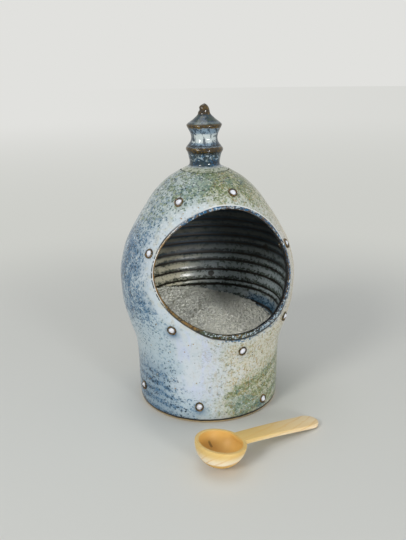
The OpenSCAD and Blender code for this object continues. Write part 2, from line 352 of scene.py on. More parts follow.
def inside_table():
    """Heights of the inner wall's rows and its radius at each."""
    radii, heights = np.array(inside_profile()[0]).T[:2]
    return heights, radii


OUTLINE_STEPS, HALVINGS = 900, 36
# Where the mouth's lean starts and how far its middle's bow reaches, as shares of its half height
LEAN_FROM, BOW_REACH = -0.6, 0.7


class Mouth:
    """The slanted mouth: a turned ellipse seen along its own axis."""

    def __init__(self):
        mouth, jar = settings().mouth, settings().jar
        outline = jar_outline()
        top = jar.dome_h - mouth.top_gap
        sill_r, top_r = float(outline.radius(mouth.sill_h)), float(outline.radius(top))
        self.sin, self.cos = math.sin(mouth.tilt), math.cos(mouth.tilt)
        self.roll_sin, self.roll_cos = math.sin(mouth.roll), math.cos(mouth.roll)
        reach = ((sill_r - top_r) * self.sin + (top - mouth.sill_h) * self.cos) / 2
        self.long_r = mouth.width / 2
        self.short_r = math.sqrt(reach ** 2 - (self.long_r * self.roll_sin) ** 2) / self.roll_cos
        self.axis_h = (top + mouth.sill_h) / 2 - (sill_r + top_r) / 2 * self.sin / self.cos
        heights = np.linspace(jar.foot_bevel, jar.dome_h, OUTLINE_STEPS)
        self.outer_table = (heights, outline.radius(heights))
        self.inner_table = inside_table()

    def point(self, u, v, w):
        """A place from its distances across, up and out along the mouth's axis."""
        height = self.axis_h + v * self.cos + w * self.sin
        return np.stack([u, v * self.sin - w * self.cos, height], -1)

    def plane(self, places):
        """Distances across, up and out of places."""
        up = places[..., 2] - self.axis_h
        return (
            places[..., 0],
            places[..., 1] * self.sin + up * self.cos,
            -places[..., 1] * self.cos + up * self.sin,
        )

    def lean(self, v):
        """How far the hand-cut mouth strays to the right at this height."""
        mouth = settings().mouth
        rise = (v / self.short_r - LEAN_FROM) / (1 - LEAN_FROM)
        bow = 1 - (v / self.short_r / BOW_REACH) ** 2
        # A number plus its own size, halved, is the number above zero and 0 below.
        return ((rise + abs(rise)) / 2) ** 2 * mouth.lean - (bow + abs(bow)) / 2 * mouth.belly

    def oval(self, turn, margin=0.0, cut=True):
        """Distances across and up of the mouth's edge, grown by a margin."""
        along, over = (self.long_r + margin) * np.cos(turn), (self.short_r + margin) * np.sin(turn)
        u = along * self.roll_cos - over * self.roll_sin
        v = along * self.roll_sin + over * self.roll_cos
        return (u + self.lean(v) if cut else u), v

    def shares(self, u, v, margin=0.0):
        """Distances along the long and the short way, as shares of the grown mouth."""
        u = u - self.lean(v)
        along = u * self.roll_cos + v * self.roll_sin
        over = v * self.roll_cos - u * self.roll_sin
        return along / (self.long_r + margin), over / (self.short_r + margin)

    def wall(self, u, v, inner=False):
        """Where a line along the axis at (u, v) leaves the wall's outer or inner face."""
        heights, radii = self.inner_table if inner else self.outer_table
        low, high = np.zeros_like(u), np.full_like(u, settings().jar.belly_d)
        for _ in range(HALVINGS):
            middle = (low + high) / 2
            p = self.point(u, v, middle)
            radius = np.interp(p[..., 2], heights, radii, right=0)
            out = np.hypot(p[..., 0], p[..., 1]) > radius
            high, low = np.where(out, middle, high), np.where(out, low, middle)
        return (low + high) / 2

    def edge(self, turn, margin=0.0, inner=False, cut=True):
        """The place on the wall at a margin outside the mouth's edge."""
        u, v = self.oval(turn, margin, cut)
        return self.point(u, v, self.wall(u, v, inner))


STRAY_SEED = 11
# Waves round the jar, and heights over which each turns
STRAY_WAVES, STRAY_RISES = (2, 3, 4), (24 * MM, 41 * MM)
# Within this radius nothing strays from the axis.
STEADY_R = 20 * MM
BULGE_H, BULGE_REACH, BULGE_SIDE = 82 * MM, 34 * MM, 40 * MM
# The dome's top sits a little to the left.
TOP_SHIFT, TOP_FROM, TOP_REACH = 0.4 * MM, 120 * MM, 30 * MM


def settle(places):
    """Moves places as the hand-thrown jar strays from a true turned form."""
    jar = settings().jar
    x, y, z = places[..., 0], places[..., 1], places[..., 2]
    turn = np.arctan2(x, -y)
    r = np.hypot(x, y)
    chance = np.random.RandomState(STRAY_SEED)
    stray = np.zeros_like(r)
    for waves in STRAY_WAVES:
        for rise in STRAY_RISES:
            stray = stray + np.cos(waves * turn + z / rise + chance.uniform(0, 6.3)) / 6
    rise = z / jar.dome_h
    # The foot and the finial's seat stay true.
    full = np.clip(r / STEADY_R, 0, 1) * np.clip(rise * 3, 0, 1) * np.clip((1.04 - rise) * 4, 0, 1)
    grow = 1 + stray * jar.wobble * full / np.maximum(r, STEADY_R)
    bulge = np.exp(-(((z - BULGE_H) / BULGE_REACH) ** 2))
    lean = jar.belly_lean * bulge * np.clip((x / BULGE_SIDE) * 0.5 + 0.5, 0, 1)
    top = np.clip((z - TOP_FROM) / TOP_REACH, 0, 1)
    return np.stack([x * grow + lean - TOP_SHIFT * top, y * grow, z], -1)


# Modelling by hand


SAME_PLACE = 0.004 * MM


def deselect():
    if bpy.context.mode != "OBJECT":
        bpy.ops.object.mode_set(mode="OBJECT")
    bpy.ops.object.select_all(action="DESELECT")


def activate(piece):
    deselect()
    piece.select_set(True)
    bpy.context.view_layer.objects.active = piece


def edit(piece):
    """Opens the piece in edit mode and gives its mesh."""
    activate(piece)
    bpy.ops.object.mode_set(mode="EDIT")
    return bmesh.from_edit_mesh(piece.data)


def pick(piece, mode, wanted):
    """Selects the vertices, edges or faces of the piece in edit mode that pass a test."""
    bpy.ops.mesh.select_mode(type=mode)
    bpy.ops.mesh.select_all(action="DESELECT")
    mesh = bmesh.from_edit_mesh(piece.data)
    parts = {"VERT": mesh.verts, "EDGE": mesh.edges, "FACE": mesh.faces}[mode]
    for part in [part for part in parts if wanted(part)]:
        part.select = True
    mesh.select_flush_mode()
    bmesh.update_edit_mesh(piece.data)
    return bmesh.from_edit_mesh(piece.data)


def close_faces():
    """Points all faces outwards and leaves edit mode."""
    bpy.ops.mesh.select_all(action="SELECT")
    bpy.ops.mesh.normals_make_consistent(inside=False)
    bpy.ops.object.mode_set(mode="OBJECT")


def profile_piece(name, points):
    """A chain of vertices in the XZ plane through (radius, height) points."""
    deselect()
    bpy.ops.mesh.primitive_plane_add(size=MM)
    piece = bpy.context.active_object
    piece.name = name
    bpy.ops.object.mode_set(mode="EDIT")
    bpy.ops.mesh.select_mode(type="VERT")
    bpy.ops.mesh.select_all(action="SELECT")
    bpy.ops.mesh.merge(type="CENTER")
    r, z = points[0][:2]
    bpy.ops.transform.translate(value=(r, 0, z))
    for point in points[1:]:
        bpy.ops.mesh.extrude_region_move(
            TRANSFORM_OT_translate={"value": (point[0] - r, 0, point[1] - z)}
        )
        r, z = point[:2]
    return piece


def spin(piece, steps):
    """Spins the chain round Z, closes the seam and the poles and points the faces."""
    bpy.ops.mesh.select_all(action="SELECT")
    bpy.ops.mesh.spin(steps=steps, angle=math.tau, center=(0, 0, 0), axis=(0, 0, 1))
    bpy.ops.mesh.select_all(action="SELECT")
    bpy.ops.mesh.remove_doubles(threshold=SAME_PLACE)
    close_faces()
    return piece


def places_of(piece):
    places = np.empty(len(piece.data.vertices) * 3)
    piece.data.vertices.foreach_get("co", places)
    return places.reshape(-1, 3)


def put(piece, places):
    piece.data.vertices.foreach_set("co", np.ascontiguousarray(places, float).ravel())
    piece.data.update()


def smooth(piece, degrees):
    """Shades the piece smooth but for edges sharper than the angle."""
    activate(piece)
    bpy.ops.object.shade_smooth_by_angle(angle=math.radians(degrees))


def join(pieces, name):
    deselect()
    for piece in pieces:
        piece.select_set(True)
    bpy.context.view_layer.objects.active = pieces[0]
    bpy.ops.object.join()
    pieces[0].name = name
    return pieces[0]


def copy_of(piece, name):
    activate(piece)
    bpy.ops.object.duplicate(linked=False)
    twin = bpy.context.active_object
    twin.name = name
    return twin


def write_attribute(piece, name, values):
    """A number at each vertex that the piece's material reads."""
    layer = piece.data.attributes.new(name, "FLOAT", "POINT")
    layer.data.foreach_set("value", np.ascontiguousarray(values, float))


def finish_piece(piece, body, slot, material, *nodes):
    """Gives the piece its material and body, and hides the nodes that it stands for. The slot is
    not used.
    """
    piece.data.materials.clear()
    piece.data.materials.append(material)
    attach(piece, body)
    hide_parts(*nodes)


# Materials


class Wire:
    """A socket that can stand in sums."""

    def __init__(self, nodes, socket):
        self.nodes, self.socket = nodes, socket

    def maths(self, operation, *others):
        return self.nodes.maths(operation, self, *others)

    def __add__(self, other):
        return self.maths("ADD", other)

    __radd__ = __add__

    def __mul__(self, other):
        return self.maths("MULTIPLY", other)

    __rmul__ = __mul__

    def __sub__(self, other):
        return self.maths("SUBTRACT", other)

    def __rsub__(self, other):
        return self.nodes.maths("SUBTRACT", other, self)

    def __truediv__(self, other):
        return self.maths("DIVIDE", other)

    def __pow__(self, other):
        return self.maths("POWER", other)

    def __abs__(self):
        return self.maths("ABSOLUTE")


class Nodes:
    """A node tree that is added to."""

    def __init__(self, tree):
        self.tree = tree

    def feed(self, node, key, value):
        """Links a wire into a socket, or sets the socket's value."""
        if isinstance(value, Wire):
            self.tree.links.new(value.socket, node.inputs[key])
        elif value is not None:
            node.inputs[key].default_value = value

    def node(self, kind, facts, sockets, out=0):
        """Adds a node: its settings first, then the values or wires of its sockets."""
        node = self.tree.nodes.new(kind)
        for key, value in facts.items():
            setattr(node, key, value)
        for key, value in sockets.items():
            self.feed(node, key, value)
        return Wire(self, node.outputs[out])

    def maths(self, operation, *terms):
        return self.node("ShaderNodeMath", {"operation": operation}, dict(enumerate(terms)))

    def vector(self, operation, *terms, **sockets):
        return self.node(
            "ShaderNodeVectorMath", {"operation": operation}, {**dict(enumerate(terms)), **sockets}
        )

    def backdrop_rays(self):
        """1 for rays that see the backdrop: straight, mirrored or through glass."""
        seen, mirrored, through = (
            self.node("ShaderNodeLightPath", {}, {}, f"Is {kind} Ray")
            for kind in ("Camera", "Glossy", "Transmission")
        )
        return seen.maths("MAXIMUM", mirrored).maths("MAXIMUM", through)

    def soft(self, value, low, high):
        """0 at low and 1 at high, with a soft change between."""
        return self.node(
            "ShaderNodeMapRange", {"interpolation_type": "SMOOTHSTEP", "clamp": True},
            {"Value": value, "From Min": low, "From Max": high, "To Min": 0.0, "To Max": 1.0},
        )

    def band(self, value, low, high, fade):
        """1 between low and high, fading to 0 beyond."""
        return self.soft(value, low - fade, low) * (1 - self.soft(value, high, high + fade))

    def mix(self, a, b, mask):
        """Colour a where the mask is 0 and b where it is 1."""
        sockets = {0: mask}
        for index, tint in ((6, a), (7, b)):
            sockets[index] = tint if isinstance(tint, Wire) else (*tint, 1.0)
        return self.node("ShaderNodeMix", {"data_type": "RGBA"}, sockets, 2)


# How closely the edges of small grains wander, and how they fade
WANDER_SCALE, SPOT_FADE = 900.0, (0.95, 1.2)


class Paint(Nodes):
    """A material whose pattern is worked out from places on the piece."""

    def __init__(self, name):
        self.material = bpy.data.materials.new(name)
        self.material.use_nodes = True
        super().__init__(self.material.node_tree)
        self.shader = self.tree.nodes["Principled BSDF"]
        self.place = self.node("ShaderNodeTexCoord", {}, {}, "Object")

    @cached_property
    def axes(self):
        """Places across, in depth and in height."""
        return [self.node("ShaderNodeSeparateXYZ", {}, {0: self.place}, axis) for axis in "XYZ"]

    @cached_property
    def wander(self):
        """Small shifts that make the edges of grains uneven."""
        return self.node(
            "ShaderNodeTexNoise", {},
            {"Vector": self.place, "Scale": WANDER_SCALE, "Detail": 2.0}, "Color",
        )

    def turn(self):
        """Degrees round the axis from the front, positive to the right."""
        x, y, _ = self.axes
        return x.maths("ARCTAN2", y * -1) * (180 / math.pi)

    def away(self):
        """Distance from the axis."""
        x, y, _ = self.axes
        return (x * x + y * y) ** 0.5

    def stretched(self, z):
        """Places with their height stretched, for a pattern drawn out along it."""
        return self.vector("MULTIPLY", self.place, (1.0, 1.0, z))

    def noise(self, size_mm, detail=2.0, rough=0.5, place=None, stray=0.0):
        """Soft clouds of about this size, from 0 to 1."""
        return self.node(
            "ShaderNodeTexNoise", {},
            {"Vector": place or self.place, "Scale": 1000 / size_mm, "Detail": detail,
             "Roughness": rough, "Distortion": stray},
        )

    def cells(self, size_mm, place=None, out="Distance"):
        """Distance to the nearest of many scattered middles, or the colour of each cell."""
        return self.node(
            "ShaderNodeTexVoronoi", {},
            {"Vector": place or self.place, "Scale": 1000 / size_mm, "Randomness": 1.0}, out,
        )

    def spots(self, size_mm, cover):
        """1 in small grains that cover a share of the surface and 0 between."""
        shift = self.vector("SCALE", self.wander, Scale=size_mm * MM)
        place = self.vector("ADD", self.place, shift)
        chance = self.node("ShaderNodeSeparateColor", {}, {0: self.cells(size_mm, place, "Color")})
        return self.soft(chance + cover, *SPOT_FADE)

    def attribute(self, name):
        return self.node("ShaderNodeAttribute", {"attribute_name": name}, {}, "Fac")

    def bump(self, height, strength, distance_mm):
        return self.node(
            "ShaderNodeBump", {},
            {"Height": height, "Strength": strength, "Distance": distance_mm * MM}, "Normal",
        )

    def finish(self, colour, roughness, normal, ior):
        """Feeds the shader and gives the finished material."""
        for key, value in (
            ("Base Color", colour), ("Roughness", roughness), ("Normal", normal), ("IOR", ior),
        ):
            self.feed(self.shader, key, value)
        return self.material


class Coats:
    """Colours laid over one another, each as thick as its cover."""

    def __init__(self, paint, tone):
        self.paint, self.tone = paint, tone

    def lay(self, tint, cover):
        self.tone = self.paint.mix(self.tone, tint, cover)


# How strongly each finish bends light
GLAZE_IOR, FINIAL_IOR, SALT_IOR, WOOD_IOR, FLOOR_IOR = 1.5, 1.55, 1.54, 1.45, 1.3


def stoneware():
    """The jar's running glaze, outside, over the mouth's edge and inside."""
    paint, glaze, mouth = Paint("glazed stoneware"), settings().glaze, Mouth()
    soft, band, noise, spots = paint.soft, paint.band, paint.noise, paint.spots
    (x, y, z), turn = paint.axes, paint.turn()
    fine = noise(1.5, 3, 0.6)
    medium = noise(5, 3, 0.6)
    broad = noise(16, 3, 0.55, stray=0.4)
    flow = noise(7, 3, 0.6, paint.stretched(0.25), 0.5)
    # Round the back, the left glaze runs over into the right one, so the two meet without a seam.
    behind = soft(abs(turn) + (broad - 0.5) * 30, 106, 160)
    around = turn * (1 - behind) + behind * 60
    warped = around + (broad - 0.5) * 34 + (medium - 0.5) * 12
    height = z / MM + (medium - 0.5) * 14
    # Distance outside the mouth's edge, in millimetres, and the way round the mouth
    up = y * mouth.sin + (z - mouth.axis_h) * mouth.cos
    along, over = mouth.shares(x, up)
    ring = (along * along + over * over) ** 0.5
    out = (ring - 1) * (0.5 * (mouth.long_r + mouth.short_r) / MM)
    sideways, upward = x / (ring * mouth.long_r), up / (ring * mouth.short_r)
    front = soft(y * -1, -0.01, 0.005)

    # Masks of the regions, by degrees round the jar and millimetres of height
    dome = soft(height, 108, 130)
    left = (1 - soft(warped, -70, -42)) * soft(height, 52, 80) * (1 - dome * 0.7)
    right = soft(warped, -32, 8)
    low_left = (1 - soft(warped, -62, -28)) * (1 - soft(height, 26, 46))
    crown = soft(height, 126, 148) * (soft(warped, -60, -28) * 0.6 + 0.4)
    halo = front * (1 - soft(out + (medium - 0.5) * 9, 1.5, 9.5))
    stream = band(warped, -34, -18, 13) * (1 - soft(height, 60, 76)) * soft(height, 8, 28)
    smooth_zone = (halo * (1 - right * 0.4) * 0.85).maths("MAXIMUM", stream)

    # Base: blue-grey to the left, milk round the mouth, cream and peach to the right
    base = Coats(paint, glaze.haze)
    base.lay(glaze.cream, right)
    base.lay(glaze.peach, right * soft(warped, 10, 45) * soft(height, 50, 70) * 0.85)
    base.lay(glaze.sage, dome * (0.46 + right * 0.24))
    base.lay(glaze.milk, smooth_zone * 0.9)
    base.lay(glaze.cream, halo * soft(medium, 0.5, 0.6) * 0.6)
    base.lay(glaze.lilac, stream * soft(flow, 0.44, 0.6) * 0.7)
    base.lay(glaze.haze, soft(noise(3.2, 3, 0.6), 0.5, 0.62) * (1 - right) * 0.4)
    base.lay(glaze.sage, soft(warped, 44, 70) * (1 - soft(height, 50, 80)) * 0.6)

    # Blue mottle, thickest on the left wall and running down it
    patchy = soft(medium * 0.6 + broad * 0.4, 0.4, 0.6)
    open_zone = 1 - smooth_zone * 0.9
    cool = 1 - right
    runs = soft(flow, 0.46, 0.64) * left * band(height, 66, 112, 12)
    rows = (z / MM * 0.98 + (broad - 0.5) * 7 + (medium - 0.5) * 3 + around * 0.02).maths("SINE")
    belts = soft(rows, -0.9, 1.0) * (1 - soft(warped, -48, -12)) * (1 - soft(height, 22, 38))
    wash = left * (patchy * 0.38 + 0.14) + runs * 0.46 + low_left * 0.42
    wash = wash + belts * 0.16 + cool * 0.04
    base.lay(glaze.blue, (wash + dome * cool * patchy * 0.1) * open_zone)
    blue_there = left * 0.36 + cool * (dome * 0.05 + 0.14) + crown * 0.14 + runs * 0.2 + belts * 0.4
    base.lay(glaze.blue, spots(1.6, blue_there * open_zone * (0.5 + patchy * 0.8)) * 0.5)
    base.lay(glaze.blue, spots(0.95, blue_there * open_zone) * 0.7)

    # Olive and moss speckle over the dome and in slanting bands low on the right
    slant = z / MM - around * 0.22 + (medium - 0.5) * 6
    slopes = soft(((slant - 19.5) * 0.66).maths("COSINE"), -0.9, 0.4)
    low_right = soft(warped, -12, 12) * (1 - soft(slant, 21, 29))
    green_there = crown * 0.46 + dome * (0.14 + right * 0.14) + low_right * (slopes * 0.36 + 0.2)
    green_there = green_there + right * 0.07 + cool * 0.05
    base.lay(glaze.sage, low_right * 0.5)
    base.lay(glaze.olive, low_right * (0.1 + slopes * 0.3) + crown * patchy * 0.3)
    base.lay(glaze.olive, spots(1.7, green_there * open_zone * (0.5 + patchy)) * 0.6)
    base.lay(glaze.moss, spots(0.95, green_there * open_zone) * 0.75)
    base.lay(glaze.teal, soft(broad, 0.5, 0.6) * (low_right * 0.4 + crown * 0.45))

    # Dark grains and white ones, all over but few in the smooth flow
    dark_there = left * 0.2 + low_left * 0.12 + dome * 0.01 + crown * 0.16 + belts * 0.3
    dark_there = dark_there + low_right * 0.08 + cool * 0.05 + 0.03
    base.lay(glaze.navy, spots(0.85, dark_there * open_zone * (0.4 + patchy)) * 0.9)
    base.lay(glaze.speck_and_highlight, spots(0.8, (left + dome + low_right) * 0.1 + 0.03) * 0.6)
    dots = 1 - soft(paint.cells(3.2), 0.1, 0.18)
    few = soft(noise(7, 2, 0.5), 0.43, 0.55)
    base.lay(glaze.navy, dots * few * (1 - smooth_zone * 0.5) * 0.85)
    base.lay(glaze.ochre, (1 - soft(paint.cells(5.6), 0.06, 0.11)) * 0.85)

    # Upright ochre flecks in the cream
    flecks = noise(1.15, 2, 0.5, paint.stretched(0.28), 0.2)
    fleck_zone = soft(warped, -32, 4) * band(height, 20, 62, 12)
    tall = soft(flecks + (few - 0.5) * 0.04, 0.575, 0.66) * fleck_zone
    base.lay(glaze.ochre, tall * 0.6)
    meeting = band(warped, -16, 14, 10) * (1 - soft(height, 62, 76)) * (1 - low_right * 0.7)
    base.lay(glaze.milk, spots(1.8, 0.45) * meeting * 0.5)
    base.lay(glaze.moss, spots(1.0, 0.14) * meeting * 0.6)
    base.lay(glaze.ochre, spots(0.9, 0.16) * right * 0.7)
    base.lay(glaze.olive, spots(0.75, 0.3) * right * 0.4)

    # Blue pools below the mouth and below its studs
    pool = front * (1 - soft(out, 0.5, 5.0)) * (1 - soft(upward, -0.5, -0.1))
    pool = pool * soft(sideways, -0.5, 0.1)
    base.lay(glaze.blue, pool * 0.2)
    base.lay(glaze.blue, spots(0.95, pool * 0.6) * 0.8)
    pooled = paint.attribute("pool")
    base.lay(glaze.blue, (pooled * (0.55 + medium * 0.7)).maths("MINIMUM", 0.85))

    # Bare clay and a dark line round the foot
    foot = z / MM + (medium - 0.5) * 0.9
    base.lay(glaze.iron, 1 - soft(foot, 2.5, 3.1))
    base.lay(glaze.clay, 1 - soft(foot, 1.4, 1.7))

    # The mouth's edge: gold-brown on the left, speckled at the bottom and blue on the right, with
    # painted highlights along its left and its top
    lip = paint.attribute("lip")
    broken = noise(2.2, 3, 0.7)
    far_side, top = soft(sideways, 0.2, 0.6), soft(upward + sideways * 0.4, 0.22, 0.72)
    bottom = (1 - soft(upward, -0.75, -0.4)) * soft(sideways, -0.6, -0.3)
    cold = far_side.maths("MAXIMUM", top)
    rim = Coats(paint, glaze.rim)
    mossy = bottom * 0.9 + top * 0.5 + 0.45
    rim.lay(glaze.lichen, soft(broken + bottom * 0.1, 0.42, 0.58) * mossy)
    rim.lay(glaze.blue, cold * soft(broken, 0.34, 0.52) * 0.95)
    rim.lay(glaze.iron, spots(1.0, bottom * 0.35 + cold * 0.2 + 0.25) * 0.85)
    rim.lay(glaze.haze, spots(0.8, bottom * 0.26 + cold * 0.2 + 0.02) * 0.8)
    middle_left = (1 - soft(sideways, -0.8, -0.5)) * band(upward, -0.3, 0.35, 0.25)
    upper_left = soft(upward, 0.05, 0.4) * (1 - soft(sideways, -0.45, -0.05))
    rim_in = lip - 0.11 - middle_left * 0.05 + bottom * 0.055 - upper_left * 0.06
    inner_from = 0.5 - (1 - soft(sideways, -0.7, -0.2)) * 0.19
    base.lay(rim.tone, soft(rim_in, 0.0, 0.03))
    shown_line = soft(noise(1.6, 2, 0.6), 0.4, 0.5)
    line = band(rim_in + middle_left * 0.06, -0.01, 0.03, 0.02)
    line = line * (shown_line * middle_left + 1 - middle_left)
    # Painted highlight: a white line along the edge's left.
    base.lay(glaze.speck_and_highlight, band(rim_in, -0.02, 0.01, 0.02) * middle_left * 0.8)
    base.lay(glaze.pitch, line * (1 - top * 0.7) * 0.9)
    # Painted highlight: a white line along the top of the edge.
    base.lay(glaze.speck_and_highlight, band(rim_in, -0.01, 0.03, 0.02) * top * soft(sideways, -0.5, -0.1) * 0.8)
    base.lay(glaze.rim, band(lip, 0.4, 0.46, 0.03) * (1 - bottom * 0.6) * 0.7)
    inner_line = soft(lip - inner_from, 0.0, 0.05) * (1 - soft(lip, 0.86, 0.92))
    base.lay(glaze.iron, inner_line * 0.92)

    # Inside: taupe to slate, mottled green and dark over the ridges; towards the top, dark green
    # and navy that are partly glaze and partly painted shade under the dome
    inner = Coats(paint, glaze.taupe)
    inner.lay(glaze.slate, soft(x / MM + (broad - 0.5) * 34, -14, 24))
    ridge, side = paint.attribute("ridge"), paint.attribute("side")
    near = ridge + (medium - 0.5) * 0.5
    edges = soft(x / MM * -1, 10, 36)
    # Painted shade under the dome: the dark top starts higher at both flanks and is weaker on the
    # left, where light comes in.
    high = z / MM - edges * 5 - soft(x / MM, 8, 34) * 8
    high = soft(high + (broad - 0.5) * 12, 61, 92)
    green = soft(near, 0.0, 0.7) * (soft(side, -0.5, 0.3) * 0.5 + 0.26) + edges * 0.06 + 0.06
    inner.lay(glaze.lichen, green * 0.3)
    inner.lay(glaze.lichen, spots(1.8, green) * 0.75)
    inner.lay(glaze.pitch, spots(1.0, green * 0.7) * 0.6)
    inner.lay(glaze.pitch, high * (0.88 - edges * 0.34))
    inner.lay(glaze.navy, high * soft(near, 0.25, 0.65) * 0.8)
    wide = noise(11, 3, 0.6, paint.stretched(4.0))
    pin = paint.attribute("pin") + (fine - 0.5) * 0.5
    over_ridge = ridge + (fine - 0.5) * 0.12 + (wide - 0.5) * 0.4
    pond = band(turn, 52, 118, 10) * band(z / MM + (medium - 0.5) * 5, 50, 55, 2)
    inner.lay(glaze.blue, pond * 0.6)
    inner.lay(glaze.navy, spots(1.0, pond * 0.35) * 0.8)
    inner.lay(glaze.iron, soft(over_ridge, 0.72, 0.84) * 0.95)
    inner.lay(glaze.iron, soft(pin, 0.46, 0.56) * 0.9)
    inside = soft(lip, 0.86, 0.93)
    base.lay(inner.tone, inside)

    # Glossy glaze, duller under the dome and rough where the foot is bare
    bare = 1 - soft(foot, 0.7, 1.2)
    roughness = 0.16 + fine * 0.1 + bare * 0.5 + high * inside * (ridge * 0.4 + 0.12)
    grain = noise(2.2, 3, 0.6) * 0.5 + medium * 0.5
    return paint.finish(base.tone, roughness, paint.bump(grain, 0.35, 0.35), GLAZE_IOR)


def finial_glaze():
    """Dark brown rings, a blue neck with dark runs and painted shade on its flanks, and a pale
    skirt.
    """
    paint, glaze = Paint("finial glaze"), settings().glaze
    soft, band, noise, spots = paint.soft, paint.band, paint.noise, paint.spots
    medium = noise(3.2, 4, 0.65, stray=0.6)
    fine = noise(1.3, 2, 0.6)
    runs = noise(2.4, 3, 0.6, paint.stretched(0.35))
    height = paint.axes[2] / MM - seat_height() / MM + (medium - 0.5) * 2.4
    skirt = 1 - soft(height, 2.6, 4.2)
    collar = band(height, 4.0, 11.2, 0.8)
    neck = band(height, 15.4, 25.4, 0.8)
    cone = band(height, 29.0, 32.8, 1.2)
    shaft = (collar + neck + cone).maths("MINIMUM", 1.0)
    rings = 1 - (skirt + collar + neck + cone).maths("MINIMUM", 1.0)
    tone = Coats(paint, glaze.amber)
    tone.lay(glaze.gold, soft(medium, 0.44, 0.6) * 0.75)
    tone.lay(glaze.iron, spots(0.9, 0.42) * 0.85)
    tone.lay(glaze.navy, (collar * 0.9).maths("MAXIMUM", cone * 0.8))
    tone.lay(glaze.blue, spots(1.0, 0.5) * (collar * 0.75 + cone * 0.25))
    # The neck is pale in front and mottled dark at both ends; its flanks, turned away from the
    # camera, get painted shade as darker mottle and more dark specks.
    shaded_flanks = soft(abs(paint.turn() + 16) + (medium - 0.5) * 60, 26, 62)
    ends = 1 - band(height, 18.2, 22.0, 1.4)
    tone.lay(glaze.lavender, neck * 0.95)
    tone.lay(glaze.blue, neck * ends * 0.66)
    dark = soft(runs + shaded_flanks * 0.1 + collar * 0.02 + cone * 0.06, 0.5, 0.6)
    tone.lay(glaze.navy, dark * shaft * 0.8)
    specks = spots(0.9, collar * 0.1 + shaded_flanks * 0.3 + neck * ends * 0.3)
    tone.lay(glaze.navy, specks * (1 - rings) * 0.9)
    pale_there = band(height, 8.0, 10.6, 2.0) * 0.34 + 0.05
    tone.lay(glaze.haze, spots(0.85, pale_there) * (collar + cone) * 0.6)
    tone.lay(glaze.lichen, soft(medium, 0.44, 0.56) * (cone * 0.7 + collar * 0.3))
    tone.lay(glaze.pitch, band(height, 10.8, 11.8, 0.5) * 0.7)
    tone.lay(glaze.pitch, band(height, 15.4, 16.0, 0.4) * 0.7)
    tone.lay(glaze.haze, band(height, 28.9, 29.3, 0.4) * 0.15)
    tone.lay(glaze.haze, skirt * 0.9)
    tone.lay(glaze.milk, soft(medium, 0.4, 0.56) * skirt * 0.8)
    tone.lay(glaze.lichen, spots(0.9, 0.36) * skirt * 0.7)
    # The pale skirt turns green where it meets the dome.
    outer = skirt * soft(paint.away() / MM + (medium - 0.5) * 4, 9.5, 12.5)
    tone.lay(glaze.sage, outer * 0.8)
    tone.lay(glaze.moss, spots(0.95, 0.44) * outer * 0.75)
    # Painted shade: dark navy round the finial's foot, in the groove of its seat.
    tone.lay(glaze.navy, (1 - soft(height, 0.5, 1.2)) * 0.75)
    return paint.finish(tone.tone, 0.08 + fine * 0.06, paint.bump(medium, 0.3, 0.3), FINIAL_IOR)


def stud_glaze():
    """Dark olive-brown glaze that breaks nearly black over a stud's ring."""
    paint, glaze = Paint("stud glaze"), settings().glaze
    medium = paint.noise(1.6, 3, 0.6)
    tone = Coats(paint, glaze.amber)
    tone.lay(glaze.rim, paint.soft(medium, 0.42, 0.56) * 0.9)
    tone.lay(glaze.lichen, paint.spots(1.0, 0.4) * 0.6)
    tone.lay(glaze.iron, paint.spots(0.9, 0.32) * 0.85)
    return paint.finish(tone.tone, 0.14 + medium * 0.1, paint.bump(medium, 0.3, 0.2), GLAZE_IOR)


def bead_glaze():
    """White bead with a bluish cast."""
    paint, glaze = Paint("bead glaze"), settings().glaze
    medium = paint.noise(1.4, 2, 0.5)
    tone = paint.mix(glaze.bead, glaze.lavender, paint.soft(medium, 0.46, 0.7) * 0.45)
    return paint.finish(tone, 0.12 + medium * 0.06, None, GLAZE_IOR)


# How bright the darkest salt is beside the driest, where it is damp and where painted shade falls,
# and the colour of the painted glints on single crystals
DAMP_AND_SHADE, SPARKLE = 0.72, (1.0, 1.0, 1.0)


def salt_crystal(name, tint):
    """Damp coarse salt, cloudy and grey-white, with painted shade towards the right and painted
    glints.
    """
    paint = Paint(name)
    medium, fine = paint.noise(7, 4, 0.65), paint.noise(1.1, 3, 0.7)
    # Painted shade: the salt is darker towards the right.
    shade = paint.soft(paint.axes[0] / MM + (medium - 0.5) * 20, 2, 26) * 0.4
    tone = Coats(paint, [part * DAMP_AND_SHADE for part in tint])
    tone.lay(tint, paint.soft(medium * 0.7 + fine * 0.3 - shade, 0.14, 0.56))
    # Painted glints: white spots on single crystals.
    tone.lay(SPARKLE, paint.spots(1.1, 0.08) * 0.8)
    return paint.finish(tone.tone, 0.16 + fine * 0.3, paint.bump(medium, 0.3, 0.2), SALT_IOR)


